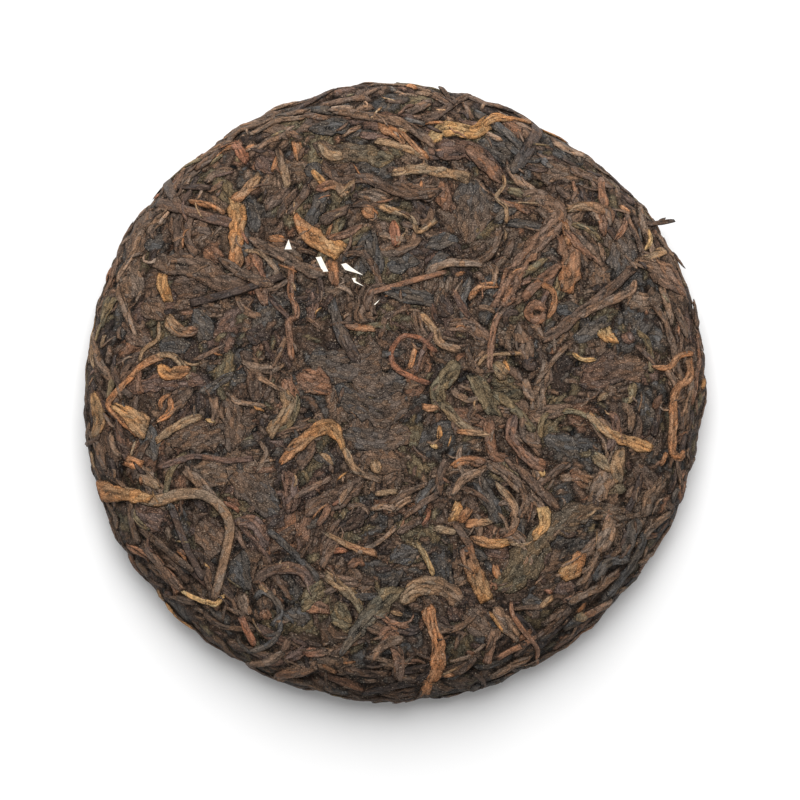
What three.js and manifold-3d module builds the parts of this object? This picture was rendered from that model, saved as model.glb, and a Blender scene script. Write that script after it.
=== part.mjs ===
// Ripe pu-erh tea cake: one disc of steamed tea leaf, pressed in a cloth bag.
// Millimetres, +Z up, origin under the middle of the cake at the level it rests on.
// The face with the shown leaves looks up, and the hollow of the bag's knot is underneath.

import * as THREE from 'three';
import { mergeVertices } from 'three/addons/utils/BufferGeometryUtils.js';
import Module from 'manifold-3d';

const wasm = await Module();
wasm.setup();

// The cake
const cakeRadius = 77.3;
const faceHeight = 18.6;
const faceFall = 1.3;
const faceRadius = 64.5;
const rimHeight = 8.2;
const restRadius = 65.5;
const underLevel = 0.45;
const knotRadius = 21;
const knotDepth = 6.4;

// Its outline isn't quite round: each wave has its lobes, its share of the radius and its turn
const outlineWaves = [
  { lobes: 2, share: 0.0062, turn: 26 },
  { lobes: 3, share: 0.0034, turn: 15 },
  { lobes: 7, share: 0.0019, turn: 40 },
  { lobes: 13, share: 0.0014, turn: 9 },
];

// The core under the leaves
const coreSides = 38;
const profileSteps = { face: 3, shoulder: 3, foot: 3, rest: 2, knot: 2 };
const lumpHeight = 0.34;

// A leaf strip
const broadSides = 6;
const narrowSides = 4;
const broadWidth = 5.6;
const stripStep = 10;
const stripThickness = 0.85;
const shownLift = 0.32;
const fillerLifts = [0.06, 0.34];
const twistThickness = 0.42; // of the width
const stripRipple = { height: 0.12, turns: 9 };
const stripTilt = { share: 0.16, turns: 3 };
const tangentReach = 0.04; // of the length
const leafWidth = 3;

// Leaves laid over the cake with no place of their own in the shown view
const faceFillers = { count: 44, seed: 5, lengths: [15, 33], widths: [3.2, 8] };
const rimFillers = { count: 28, seed: 11, lengths: [16, 32], widths: [3, 6.5] };
const underFillers = { count: 14, seed: 23, lengths: [20, 36], widths: [4, 9] };
const underReach = 72;
const fillerGap = 2.6;
const fillerBend = 1.5;
const shortMore = 1.4; // above 1, more of the fillers are short
const narrowMore = 1.8;
const rimTiers = [4, 13, 22]; // arc beyond the face

// The broad leaf underneath whose pressed face is the resting place
const restingLeaf = { width: 9.5, path: [[38, -9], [47, 0], [52, 12]] };

// Leaves that stand out on the face, as seen from above with the shown view's top towards +Y.
// kind is how a leaf lies: leaf is broad, twist is rolled, stem is a stalk, bud is a tip.
const shownLeaves = [
  { kind: 'stem', width: 2.4, path: [[-59.5, 47.7], [-50, 44.8], [-40.5, 42.5]] },
  { kind: 'stem', width: 2.5, path: [[-56.8, 53.7], [-54.2, 48.7], [-51.2, 40.5], [-49, 36.2]] },
  { kind: 'bud', width: 2.9, path: [[-39.2, 47.7], [-38.9, 40], [-40, 32.7]] },
  { kind: 'leaf', width: 3.4, path: [[-57.2, 30], [-56.8, 22.8]] },
  { kind: 'twist', width: 2.0, path: [[-33.5, 54.2], [-40, 47.7]] },
  { kind: 'leaf', width: 6.2, path: [[-25.5, 44.5], [-18, 40.5], [-11, 34.5]] },
  {
    kind: 'stem', width: 1.8,
    path: [[-25.5, 32.2], [-25.7, 25.5], [-24, 19.7], [-26.2, 17.7], [-25.5, 8.2]],
  },
  { kind: 'twist', width: 3.0, path: [[10.2, 64.2], [19.5, 66.2], [25, 68.7], [34, 67.5]] },
  { kind: 'leaf', width: 2.6, path: [[37, 66], [43, 62.4]] },
  { kind: 'twist', width: 2.0, path: [[0, 55.5], [5.2, 56.5], [18.5, 53.7]] },
  { kind: 'leaf', width: 3.4, path: [[-4, 66.8], [3.2, 63]] },
  { kind: 'twist', width: 1.8, path: [[-4.2, 47], [4.2, 44], [6, 40.5], [10.7, 43.5]] },
  { kind: 'twist', width: 2.6, path: [[-18, 57.7], [-13.7, 53.7], [-6.5, 53.7], [0, 50.7], [10.7, 50.2]] },
  { kind: 'twist', width: 2.6, path: [[-20.7, 71], [-15, 70.5], [2.2, 67.5], [10.2, 61.5]] },
  { kind: 'stem', width: 1.6, path: [[-6.7, 25], [6.5, 28.7], [13.2, 30.5]] },
  { kind: 'leaf', width: 5.4, path: [[-2, 26], [10, 23.6]] },
  {
    kind: 'leaf', width: 4.6,
    path: [[26.2, 21.5], [29.7, 29.7], [36.2, 38], [41.2, 44.7], [36.2, 49.4], [32, 49]],
  },
  { kind: 'bud', width: 4.6, path: [[43, 39], [42.7, 25.5]] },
  { kind: 'twist', width: 3.0, path: [[43, 45.7], [47, 46.7], [53, 45.7], [53.6, 42.8]] },
  { kind: 'leaf', width: 6.2, path: [[60, 32.2], [70.3, 30.5], [71.6, 26.2]] },
  { kind: 'stem', width: 2.2, path: [[44.7, 16.2], [59, 24.5]] },
  {
    kind: 'twist', width: 2.1,
    path: [[-57.7, 9.5], [-66.2, 3.7], [-70.8, -2.5], [-66.2, -7.7], [-64.2, -10.7]],
  },
  { kind: 'twist', width: 2.0, path: [[-58.5, 7.7], [-57.7, 4.7], [-50.7, 5.5]] },
  { kind: 'leaf', width: 3.6, path: [[-74.6, 0], [-73.8, -6.5], [-74.4, -11]] },
  { kind: 'twist', width: 2.3, path: [[-59.5, -12], [-54.2, -8.2], [-47.7, -5.5]] },
  { kind: 'leaf', width: 3.2, path: [[-27.5, 0.5], [-26.2, -3.5], [-31.5, -10.7]] },
  { kind: 'twist', width: 2.8, path: [[-28, -16.7], [-18, -8.2], [-14.2, -9], [-13, -13.2]] },
  { kind: 'leaf', width: 6.0, path: [[-24, 5], [-15.5, 2]] },
  {
    kind: 'stem', width: 2.6,
    path: [[-73.2, -25.2], [-59.5, -26.7], [-47, -25.5], [-41, -34], [-44.7, -51.2]],
  },
  { kind: 'stem', width: 2.1, path: [[-38.2, -55.5], [-34.7, -63.2]] },
  { kind: 'twist', width: 2.2, path: [[-56.7, -51.7], [-53.2, -56], [-50, -59]] },
  { kind: 'twist', width: 2.5, path: [[-15.5, 22.7], [-13, 15], [-9, 7.7]] },
  { kind: 'stem', width: 1.6, path: [[10.7, 10.2], [2.2, 14.2], [-0.5, 10.7], [0.5, 6.5], [9, 2.5]] },
  { kind: 'twist', width: 2.2, path: [[6.5, 20.2], [10.2, 16], [11.7, 12.5], [16.7, 10.7]] },
  { kind: 'leaf', width: 3.9, path: [[19.5, 4.7], [22.7, -0.5], [25, -5.5]] },
  { kind: 'twist', width: 2.2, path: [[14.7, -18], [19.5, -16.7], [25.5, -19], [30.5, -21.5]] },
  { kind: 'twist', width: 2.1, path: [[20.7, -36.7], [27.2, -37.5]] },
  { kind: 'bud', width: 4.1, path: [[52.4, 16], [54.6, 12.6]] },
  { kind: 'stem', width: 2.2, path: [[73.2, 9], [73.4, 4.7], [70.2, 0.5], [69.4, -14.2], [71.8, -15]] },
  { kind: 'twist', width: 2.1, path: [[48.2, -4.7], [52.2, -9], [56.5, -11.2], [64.2, -13.7]] },
  { kind: 'leaf', width: 3.5, path: [[56, -14], [56.5, -22]] },
  { kind: 'leaf', width: 3.5, path: [[36.2, -29.2], [37.5, -33.5], [34.6, -35.5]] },
  { kind: 'stem', width: 2.2, path: [[15, -32.2], [19.5, -38.7]] },
  { kind: 'bud', width: 4.0, path: [[18.5, -39.7], [19.5, -44.7], [22.5, -51.2]] },
  { kind: 'twist', width: 2.2, path: [[-15, -44.5], [-9, -50.5]] },
  { kind: 'twist', width: 3.0, path: [[7.2, -56], [10.2, -60.2], [10.7, -65.5], [7.9, -72.6]] },
  { kind: 'leaf', width: 4.6, path: [[-13.7, -65.5], [-6.5, -56], [1.2, -48.2]] },
  { kind: 'leaf', width: 3.4, path: [[2.2, -50], [15, -50]] },
  {
    kind: 'leaf', width: 6.4,
    path: [[26.7, -48.2], [34, -41.5], [39.7, -33.2], [49.2, -29], [60.2, -30.2]],
  },
  { kind: 'leaf', width: 5.0, path: [[45.7, -40], [47, -44.7], [41.5, -46]] },
  { kind: 'leaf', width: 4.6, path: [[54.7, -31], [50.7, -39.5]] },
];

// Tips that stand out of the edge: where each starts and ends round the edge in degrees,
// how far down the edge it lies and how far its end stands out
const edgeTips = [
  { width: 1.8, turn: [77, 80.5], down: 7, out: 1.6 },
  { width: 2.6, turn: [30, 33.5], down: 6, out: 2.6 },
  { width: 2.2, turn: [25.5, 22.8], down: 9, out: 1.7 },
  { width: 2.8, turn: [11, 16.5], down: 8, out: 1.1 },
];

const degrees = Math.PI / 180;

function seededRandom(seed) {
  let state = seed;
  return () => {
    state = (state + 0x6d2b79f5) | 0;
    let mixed = Math.imul(state ^ (state >>> 15), 1 | state);
    mixed = (mixed + Math.imul(mixed ^ (mixed >>> 7), 61 | mixed)) ^ mixed;
    return ((mixed ^ (mixed >>> 14)) >>> 0) / 4294967296;
  };
}

// Half section of the core, from the middle of the face over the edge to the middle of the knot hollow

function stretch(steps, place) {
  return Array.from({ length: steps }, (_, step) => place((step + 1) / steps));
}

function makeProfile() {
  const faceEdge = faceHeight - faceFall;
  const quarter = Math.PI / 2;
  const face = stretch(profileSteps.face, (t) => [faceRadius * t, faceHeight - faceFall * t ** 3]);
  const shoulder = stretch(profileSteps.shoulder, (t) => [
    faceRadius + (cakeRadius - faceRadius) * Math.sin(quarter * t),
    rimHeight + (faceEdge - rimHeight) * Math.cos(quarter * t),
  ]);
  const foot = stretch(profileSteps.foot, (t) => [
    restRadius + (cakeRadius - restRadius) * Math.cos(quarter * t),
    underLevel + (rimHeight - underLevel) * (1 - Math.sin(quarter * t)),
  ]);
  const rest = stretch(profileSteps.rest, (t) => [restRadius + (knotRadius - restRadius) * t, underLevel]);
  const knot = stretch(profileSteps.knot, (t) => [
    knotRadius * (1 - t),
    underLevel + (knotDepth * (1 - Math.cos(Math.PI * t))) / 2,
  ]);
  const places = [[0, faceHeight], ...face, ...shoulder, ...foot, ...rest, ...knot];
  return places.map(([radius, height]) => new THREE.Vector2(radius, height));
}

const profile = makeProfile();
const profileArcs = [0];
for (let i = 1; i < profile.length; i++) {
  profileArcs.push(profileArcs[i - 1] + profile[i].distanceTo(profile[i - 1]));
}
const profileLength = profileArcs.at(-1);
const rimIndex = profileSteps.face + profileSteps.shoulder;

function profileAt(arc) {
  const clamped = THREE.MathUtils.clamp(arc, 0, profileLength);
  const next = Math.max(1, profileArcs.findIndex((length) => length >= clamped));
  const share = (clamped - profileArcs[next - 1]) / (profileArcs[next] - profileArcs[next - 1]);
  return profile[next - 1].clone().lerp(profile[next], share);
}

function arcOfFaceRadius(radius) {
  const limited = Math.min(radius, profile[rimIndex].x);
  const next = profile.findIndex((point, i) => i > 0 && point.x >= limited);
  const share = (limited - profile[next - 1].x) / (profile[next].x - profile[next - 1].x);
  return THREE.MathUtils.lerp(profileArcs[next - 1], profileArcs[next], share);
}

// The core's surface, by the way along the half section and the angle round the middle

function outlineShare(angle) {
  return outlineWaves.reduce(
    (sum, wave) => sum + wave.share * Math.cos(wave.lobes * (angle - wave.turn * degrees)),
    1,
  );
}

function lumps(x, y, z) {
  const broad = Math.sin(0.23 * x + 0.11 * y + 1.3) * Math.sin(0.19 * y - 0.07 * x + 0.4);
  const small = Math.sin(0.52 * x - 0.31 * y + 0.45 * z) * Math.cos(0.44 * y + 0.29 * x);
  return lumpHeight * (0.6 * broad + 0.7 * small);
}

function surfacePoint(arc, angle) {
  const { x: radius, y: height } = profileAt(arc);
  const outer = radius * outlineShare(angle);
  return new THREE.Vector3(outer * Math.cos(angle), outer * Math.sin(angle), height);
}

function surfaceNormal(arc, angle) {
  const reach = 0.4;
  const along = surfacePoint(arc + reach, angle).sub(surfacePoint(arc - reach, angle));
  const turn = reach / Math.max(profileAt(arc).x, reach);
  const round = surfacePoint(arc, angle + turn).sub(surfacePoint(arc, angle - turn));
  return along.cross(round).normalize();
}

// A chart is the surface unrolled flat round the middle of the face or of the underside

function faceChart(u, v) {
  return [Math.max(Math.hypot(u, v), 0.5), Math.atan2(v, u)];
}

function underChart(u, v) {
  return [profileLength - Math.max(Math.hypot(u, v), 0.5), Math.atan2(v, u)];
}

function seenFromAbove([x, y]) {
  const angle = Math.atan2(y, x);
  const arc = arcOfFaceRadius(Math.hypot(x, y) / outlineShare(angle));
  return new THREE.Vector3(arc * Math.cos(angle), arc * Math.sin(angle), 0);
}

function seenFromBelow([x, y]) {
  return new THREE.Vector3(x, y, 0);
}

// Solids: merged vertices, no flat triangles, faces pointing out

function toSolid(geometry) {
  geometry.deleteAttribute('normal');
  geometry.deleteAttribute('uv');
  const merged = mergeVertices(geometry, 1e-4);
  const corners = Array.from(merged.index.array);
  const triangles = [];
  for (let i = 0; i < corners.length; i += 3) {
    const [a, b, c] = corners.slice(i, i + 3);
    if (a !== b && b !== c && c !== a) triangles.push([a, b, c]);
  }
  const positions = merged.attributes.position.array;
  const outward = signedVolume(positions, triangles) > 0;
  const faced = triangles.flatMap(([a, b, c]) => (outward ? [a, b, c] : [a, c, b]));
  const mesh = new wasm.Mesh({
    numProp: 3,
    vertProperties: new Float32Array(positions),
    triVerts: new Uint32Array(faced),
  });
  return new wasm.Manifold(mesh);
}

function signedVolume(positions, triangles) {
  const corner = (i) => new THREE.Vector3().fromArray(positions, 3 * i);
  return triangles.reduce((sum, [a, b, c]) => sum + corner(a).dot(corner(b).cross(corner(c))) / 6, 0);
}

function makeCore() {
  const geometry = new THREE.LatheGeometry(profile, coreSides);
  const position = geometry.attributes.position;
  for (let i = 0; i < position.count; i++) {
    const angle = Math.atan2(position.getZ(i), position.getX(i));
    const radius = Math.hypot(position.getX(i), position.getZ(i));
    const outer = radius * outlineShare(angle);
    const x = outer * Math.cos(angle);
    const y = outer * Math.sin(angle);
    const height = position.getY(i);
    const lump = lumps(x, y, height);
    position.setXYZ(i, x, y, height + (height > underLevel ? lump : Math.abs(lump)));
  }
  return toSolid(geometry);
}

// How wide a strip is along its length, as a share of its width

const taper = {
  leaf: (t) => 0.3 + 0.7 * Math.sin(Math.PI * (0.08 + 0.84 * t)) ** 0.7,
  twist: (t) => 0.5 + 0.5 * Math.sin(Math.PI * (0.1 + 0.8 * t)) ** 0.5,
  stem: () => 1,
  bud: (t) => 0.25 + 0.75 * Math.sin(Math.PI * (0.2 + 0.78 * t)) ** 0.8,
};

function makeStrip({ kind, width, points, chart, lift = shownLift, rise = 0, roll = 0 }) {
  const route = new THREE.CatmullRomCurve3(points);
  const sides = width > broadWidth ? broadSides : narrowSides;
  const steps = Math.max(2, Math.round(route.getLength() / stripStep), points.length);
  const geometry = new THREE.CylinderGeometry(1, 1, 1, sides, steps);
  const position = geometry.attributes.position;
  const thickness = kind === 'leaf' ? stripThickness : Math.max(stripThickness, twistThickness * width);
  const onSurface = (t) => {
    const place = route.getPoint(THREE.MathUtils.clamp(t, 0, 1));
    return surfacePoint(...chart(place.x, place.y));
  };
  for (let i = 0; i < position.count; i++) {
    const t = position.getY(i) + 0.5;
    const place = route.getPoint(t);
    const normal = surfaceNormal(...chart(place.x, place.y));
    const tangent = onSurface(t + tangentReach).sub(onSurface(t - tangentReach)).normalize();
    const side = tangent.clone().cross(normal).normalize();
    const up = side.clone().cross(tangent);
    const wave = stripRipple.height * Math.sin(stripRipple.turns * t + roll);
    const across = (position.getX(i) * width * taper[kind](t)) / 2;
    const height = position.getZ(i) * thickness + lift + rise * t ** 2 + wave;
    const tilt = across * stripTilt.share * Math.sin(roll + stripTilt.turns * t);
    const moved = onSurface(t).addScaledVector(side, across).addScaledVector(up, height + tilt);
    position.setXYZ(i, moved.x, moved.y, moved.z);
  }
  return toSolid(geometry);
}

// A filler's route: an arc of its length, turning by its bend

function bentRoute(u, v, heading, length, bend) {
  const pieces = 2;
  const points = [];
  for (let i = 0; i <= pieces; i++) {
    const along = (i / pieces - 0.5) * length;
    const turned = heading + (bend * along) / length;
    points.push(new THREE.Vector3(u + along * Math.cos(turned), v + along * Math.sin(turned), 0));
  }
  return points;
}

function pick([low, high], share) {
  return low + (high - low) * share;
}

// A filler is left out where its middle would lie on a leaf that is there already
function makeFillers(sizes, placeOf, headingOf, chart, taken) {
  const random = seededRandom(sizes.seed);
  const solids = [];
  for (let i = 0; i < sizes.count; i++) {
    const [u, v] = placeOf(i, random);
    const heading = headingOf(u, v, random);
    const length = pick(sizes.lengths, random() ** shortMore);
    const width = pick(sizes.widths, random() ** narrowMore);
    const bend = (random() - 0.5) * fillerBend;
    const roll = 6 * random();
    const middle = new THREE.Vector3(u, v, 0);
    if (taken.some((place) => place.distanceTo(middle) < fillerGap + width / 2)) continue;
    const points = bentRoute(u, v, heading, length, bend);
    const kind = width > leafWidth ? 'leaf' : 'twist';
    solids.push(makeStrip({ kind, width, points, chart, lift: pick(fillerLifts, random()), roll }));
  }
  return solids;
}

// Places spread evenly over a disc by the golden angle, with a small seeded shift
function evenPlaces(count, reach) {
  const goldenAngle = Math.PI * (3 - Math.sqrt(5));
  return (i, random) => {
    const radius = reach * Math.sqrt((i + 0.5) / count);
    const angle = i * goldenAngle + 0.2 * random();
    return [radius * Math.cos(angle), radius * Math.sin(angle)];
  };
}

function makeFaceFillers() {
  const anyWay = (u, v, random) => Math.PI * random();
  const places = evenPlaces(faceFillers.count, faceRadius + 2);
  return makeFillers(faceFillers, places, anyWay, faceChart, shownPlaces());
}

function makeUnderFillers() {
  const anyWay = (u, v, random) => Math.PI * random();
  const places = evenPlaces(underFillers.count, underReach);
  return makeFillers(underFillers, places, anyWay, underChart, restingLeaf.path.map(seenFromBelow));
}

// Round the edge the leaves lie along it, in three tiers
function makeRimFillers() {
  const placeOf = (i, random) => {
    const angle = ((i + 0.5 * random()) * 2 * Math.PI) / rimFillers.count;
    const arc = faceRadius + rimTiers[i % rimTiers.length] + 3 * (random() - 0.5);
    return [arc * Math.cos(angle), arc * Math.sin(angle)];
  };
  const alongEdge = (u, v, random) => Math.atan2(v, u) + Math.PI / 2 + 0.5 * (random() - 0.5);
  return makeFillers(rimFillers, placeOf, alongEdge, faceChart, []);
}

function makeShownLeaves() {
  return shownLeaves.map(({ kind, width, path }, i) => makeStrip({
    kind,
    width,
    points: path.map(seenFromAbove),
    chart: faceChart,
    roll: i,
  }));
}

// Places along the middles of the shown leaves, a few millimetres apart
function shownPlaces() {
  const spacing = 3;
  return shownLeaves.flatMap(({ path }) => {
    const route = new THREE.CatmullRomCurve3(path.map(seenFromAbove));
    return route.getSpacedPoints(Math.ceil(route.getLength() / spacing));
  });
}

function makeRestingLeaf() {
  return makeStrip({
    kind: 'leaf',
    width: restingLeaf.width,
    points: restingLeaf.path.map(seenFromBelow),
    chart: underChart,
  });
}

function makeEdgeTips() {
  return edgeTips.map(({ width, turn, down, out }) => {
    const arc = faceRadius + down;
    const points = [0, 0.5, 1].map((t) => {
      const angle = pick(turn, t) * degrees;
      return new THREE.Vector3(arc * Math.cos(angle), arc * Math.sin(angle), 0);
    });
    return makeStrip({ kind: 'bud', width, points, chart: faceChart, rise: out });
  });
}

// What lies below the resting level is pressed flat
function makePressBoard() {
  const depth = 10;
  const board = new THREE.BoxGeometry(3 * cakeRadius, 3 * cakeRadius, depth);
  board.translate(0, 0, -depth / 2);
  return toSolid(board);
}

// The joined solid's largest shell: loose scraps are dropped and sealed pockets filled

function largestShell(mesh) {
  const { vertProperties, triVerts } = mesh;
  const owner = Array.from({ length: vertProperties.length / 3 }, (_, i) => i);
  const rootOf = (i) => {
    while (owner[i] !== i) {
      owner[i] = owner[owner[i]];
      i = owner[i];
    }
    return i;
  };
  for (let i = 0; i < triVerts.length; i += 3) {
    owner[rootOf(triVerts[i])] = rootOf(triVerts[i + 1]);
    owner[rootOf(triVerts[i + 1])] = rootOf(triVerts[i + 2]);
  }
  const shells = new Map();
  for (let i = 0; i < triVerts.length; i += 3) {
    const root = rootOf(triVerts[i]);
    if (!shells.has(root)) shells.set(root, []);
    shells.get(root).push([triVerts[i], triVerts[i + 1], triVerts[i + 2]]);
  }
  const volumeOf = (triangles) => signedVolume(vertProperties, triangles);
  const largest = [...shells.values()].sort((a, b) => volumeOf(b) - volumeOf(a))[0];
  const geometry = new THREE.BufferGeometry();
  geometry.setAttribute('position', new THREE.BufferAttribute(new Float32Array(vertProperties), 3));
  geometry.setIndex(largest.flat());
  return geometry;
}

function makeCake() {
  const pieces = [
    makeCore(),
    ...makeShownLeaves(),
    ...makeEdgeTips(),
    ...makeFaceFillers(),
    ...makeRimFillers(),
    ...makeUnderFillers(),
    makeRestingLeaf(),
  ];
  const joined = pieces.reduce((whole, piece) => whole.add(piece));
  const pressed = joined.subtract(makePressBoard());
  const material = new THREE.MeshStandardMaterial({
    color: new THREE.Color().setRGB(0.37, 0.3, 0.25, THREE.SRGBColorSpace),
    roughness: 0.72,
    metalness: 0,
  });
  const cake = new THREE.Mesh(largestShell(pressed.getMesh()), material);
  cake.name = 'tea_cake';
  return cake;
}

const teaCake = new THREE.Group();
teaCake.add(makeCake());

export default teaCake;
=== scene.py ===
import math
import bmesh
import bpy
import numpy as np
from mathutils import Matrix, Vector


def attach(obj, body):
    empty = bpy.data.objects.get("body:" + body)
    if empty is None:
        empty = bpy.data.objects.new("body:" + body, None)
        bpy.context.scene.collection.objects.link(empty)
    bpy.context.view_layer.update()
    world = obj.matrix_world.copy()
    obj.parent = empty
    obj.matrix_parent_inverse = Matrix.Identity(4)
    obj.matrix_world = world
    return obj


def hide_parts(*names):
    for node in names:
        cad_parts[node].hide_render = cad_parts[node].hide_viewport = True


# Ripe pu-erh tea cake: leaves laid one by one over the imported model's form, then pressed flat.
# Lengths here are in millimetres and become metres when a mesh is made.

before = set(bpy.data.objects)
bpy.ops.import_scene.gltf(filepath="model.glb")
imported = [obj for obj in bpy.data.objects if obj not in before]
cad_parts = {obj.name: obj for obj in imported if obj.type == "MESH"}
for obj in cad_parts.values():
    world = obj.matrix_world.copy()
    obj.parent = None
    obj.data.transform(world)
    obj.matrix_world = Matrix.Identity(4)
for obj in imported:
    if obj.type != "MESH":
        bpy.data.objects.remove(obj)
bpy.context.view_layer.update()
mm = 0.001

cake = dict(
    radius=76.7,
    faceHeight=18.6,
    faceFall=1.3,  # how far the face drops from its middle to its edge
    faceRadius=64.5,
    rimHeight=8.2,  # level of the widest place
    restRadius=65.5,
    underLevel=0.45,
    knotRadius=21,
    knotDepth=6.4,
    waves=[(2, 0.0062, 26), (3, 0.0034, 15), (7, 0.0019, 40), (13, 0.0014, 9)],  # lobes, share, turn
    dents=[(42, 5, 0.8), (53, 12, 0.9), (60, 4, 1.0), (128, 6, 0.6), (172, 6, 0.9), (346, 8, 1.0),
           (322, 8, 0.5), (95, 10, -0.6), (212, 9, -0.6), (275, 16, -0.8)],  # degrees, half width, depth
    # lobes round the edge, how they lean down it, their height and start
    bulges=[(19, 0.06, 0.12, 1.0), (29, -0.11, 0.12, 2.4), (41, 0.17, 0.12, 0.6), (57, -0.05, 0.10, 4.0)],
    bulgeFrom=(58, 60),  # along the section from the middle of the face and of the underside
    bulgeGrow=(14, 10),  # millimetres until they are full
    tableGap=0.12,  # leaves that would come lower are pressed level
)


# The half section, from the middle of the face over the edge to the middle of the knot hollow

def halfSection(steps=60):
    t = np.linspace(0, 1, steps)
    quarter = t * math.pi / 2
    faceEdge = cake["faceHeight"] - cake["faceFall"]
    shoulderWide = cake["radius"] - cake["faceRadius"]
    footWide = cake["radius"] - cake["restRadius"]
    footHigh = cake["rimHeight"] - cake["underLevel"]
    restWide = cake["restRadius"] - cake["knotRadius"]
    radius = [
        cake["faceRadius"] * t,
        cake["faceRadius"] + shoulderWide * np.sin(quarter),
        cake["restRadius"] + footWide * np.cos(quarter),
        cake["restRadius"] - restWide * t,
        cake["knotRadius"] * (1 - t),
    ]
    height = [
        cake["faceHeight"] - cake["faceFall"] * t ** 3,
        cake["rimHeight"] + (faceEdge - cake["rimHeight"]) * np.cos(quarter),
        cake["underLevel"] + footHigh * (1 - np.sin(quarter)),
        np.full(steps, cake["underLevel"]),
        cake["underLevel"] + cake["knotDepth"] * (1 - np.cos(math.pi * t)) / 2,
    ]
    radius = np.concatenate([radius[0][:1]] + [part[1:] for part in radius])
    height = np.concatenate([height[0][:1]] + [part[1:] for part in height])
    arc = np.concatenate([[0], np.cumsum(np.hypot(np.diff(radius), np.diff(height)))])
    outward = np.gradient(radius, arc)
    upward = np.gradient(height, arc)
    size = np.hypot(outward, upward)
    return dict(arc=arc, radius=radius, height=height, rim=2 * steps - 1,
                outRadius=-upward / size, outHeight=outward / size)


section = halfSection()
sectionLength = section["arc"][-1]


def outlineShare(angle):
    share = np.ones_like(angle)
    for lobes, swell, turn in cake["waves"]:
        share = share + swell * np.cos(lobes * (angle - math.radians(turn)))
    for place, reach, depth in cake["dents"]:
        gap = (angle - math.radians(place) + math.pi) % (2 * math.pi) - math.pi
        share = share - depth / cake["radius"] * np.exp(-(gap / math.radians(reach)) ** 2)
    return share


def rimBulge(angle, arc):
    # the edge isn't ironed: knots of leaf swell it
    above, below = cake["bulgeFrom"]
    growAbove, growBelow = cake["bulgeGrow"]
    atRim = np.clip((arc - above) / growAbove, 0, 1)
    atRim = atRim * np.clip((sectionLength - below - arc) / growBelow, 0, 1)
    bulge = sum(high * np.cos(lobes * angle + lean * arc + start)
                for lobes, lean, high, start in cake["bulges"])
    return atRim * bulge


def bilinear(field, rows, cols):
    row = np.clip(rows, 0, field.shape[0] - 1.001)
    col = np.clip(cols, 0, field.shape[1] - 1.001)
    r, c = row.astype(int), col.astype(int)
    fr, fc = row - r, col - c
    low = field[r, c] * (1 - fc) + field[r, c + 1] * fc
    high = field[r + 1, c] * (1 - fc) + field[r + 1, c + 1] * fc
    return low * (1 - fr) + high * fr


# A chart is the surface unrolled flat, round the middle of the face or of the underside.
# Its stack is how high the leaves laid so far reach over each place, and its mat is the pressed
# mass of small bits under the whole leaves, with the colour and the grain of the bit on top.

class Chart:
    def __init__(self, reach, under=False, cell=0.4):
        self.reach, self.under, self.cell = reach, under, cell
        self.side = int(2 * reach / cell) + 1
        self.stack = np.zeros((self.side, self.side))
        self.colour = np.zeros((self.side, self.side, 3))
        self.place = np.zeros((self.side, self.side, 3))
        self.leaves = []

    def spot(self, u, v):
        return (v + self.reach) / self.cell, (u + self.reach) / self.cell

    def sample(self, field, u, v):
        return bilinear(field, *self.spot(u, v))

    def cells(self, u, v):
        return [np.clip(np.rint(way).astype(int), 0, self.side - 1) for way in self.spot(u, v)]

    def raiseTo(self, u, v, h):
        rows, cols = self.cells(u, v)
        self.stack[rows, cols] = np.maximum(self.stack[rows, cols], h)

    def addToMat(self, u, v, h, colour, place):
        rows, cols = self.cells(u, v)
        higher = h > self.stack[rows, cols]
        rows, cols = rows[higher], cols[higher]
        self.stack[rows, cols] = h[higher]
        self.colour[rows, cols] = colour[higher]
        self.place[rows, cols] = place[higher]

    def world(self, u, v, lift):
        away = np.hypot(u, v)
        angle = np.arctan2(v, u) * (-1 if self.under else 1)
        arc = np.clip(sectionLength - away if self.under else away, 0, sectionLength)
        radius, height, outRadius, outHeight = (
            np.interp(arc, section["arc"], section[what])
            for what in ("radius", "height", "outRadius", "outHeight"))
        lift = lift + rimBulge(angle, arc)
        radius = radius * outlineShare(angle) + outRadius * lift
        height = height + outHeight * lift
        gap = cake["tableGap"]
        height = np.where(height < gap, gap * np.exp(height / gap - 1), height)  # none below the table
        return np.stack([radius * np.cos(angle), radius * np.sin(angle), height], axis=-1)

    def blurred(self, field, reach):
        wave = np.fft.fftfreq(self.side, self.cell)
        blur = np.exp(-2 * (math.pi * reach) ** 2 * (wave[:, None] ** 2 + wave[None, :] ** 2))
        return np.fft.ifft2(np.fft.fft2(field) * blur).real

    def envelope(self, reach, stiffness=2.5):
        # a smooth sheet that touches the tops of the stack
        lifted = np.exp(stiffness * (self.stack - self.stack.max()))
        return np.log(np.maximum(self.blurred(lifted, reach), 1e-9)) / stiffness + self.stack.max()


# The camera looks down from the front, and its frame is measured at the level of middle, in mm.
# listMiddle is the frame's middle as the shown leaves' list counts it.

cameraSet = dict(elevation=83.7, distance=800.0, frameWidth=200.0, middle=(1.6, -2.7, 8.2),
                 listMiddle=(1.5, -1.5))


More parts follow.
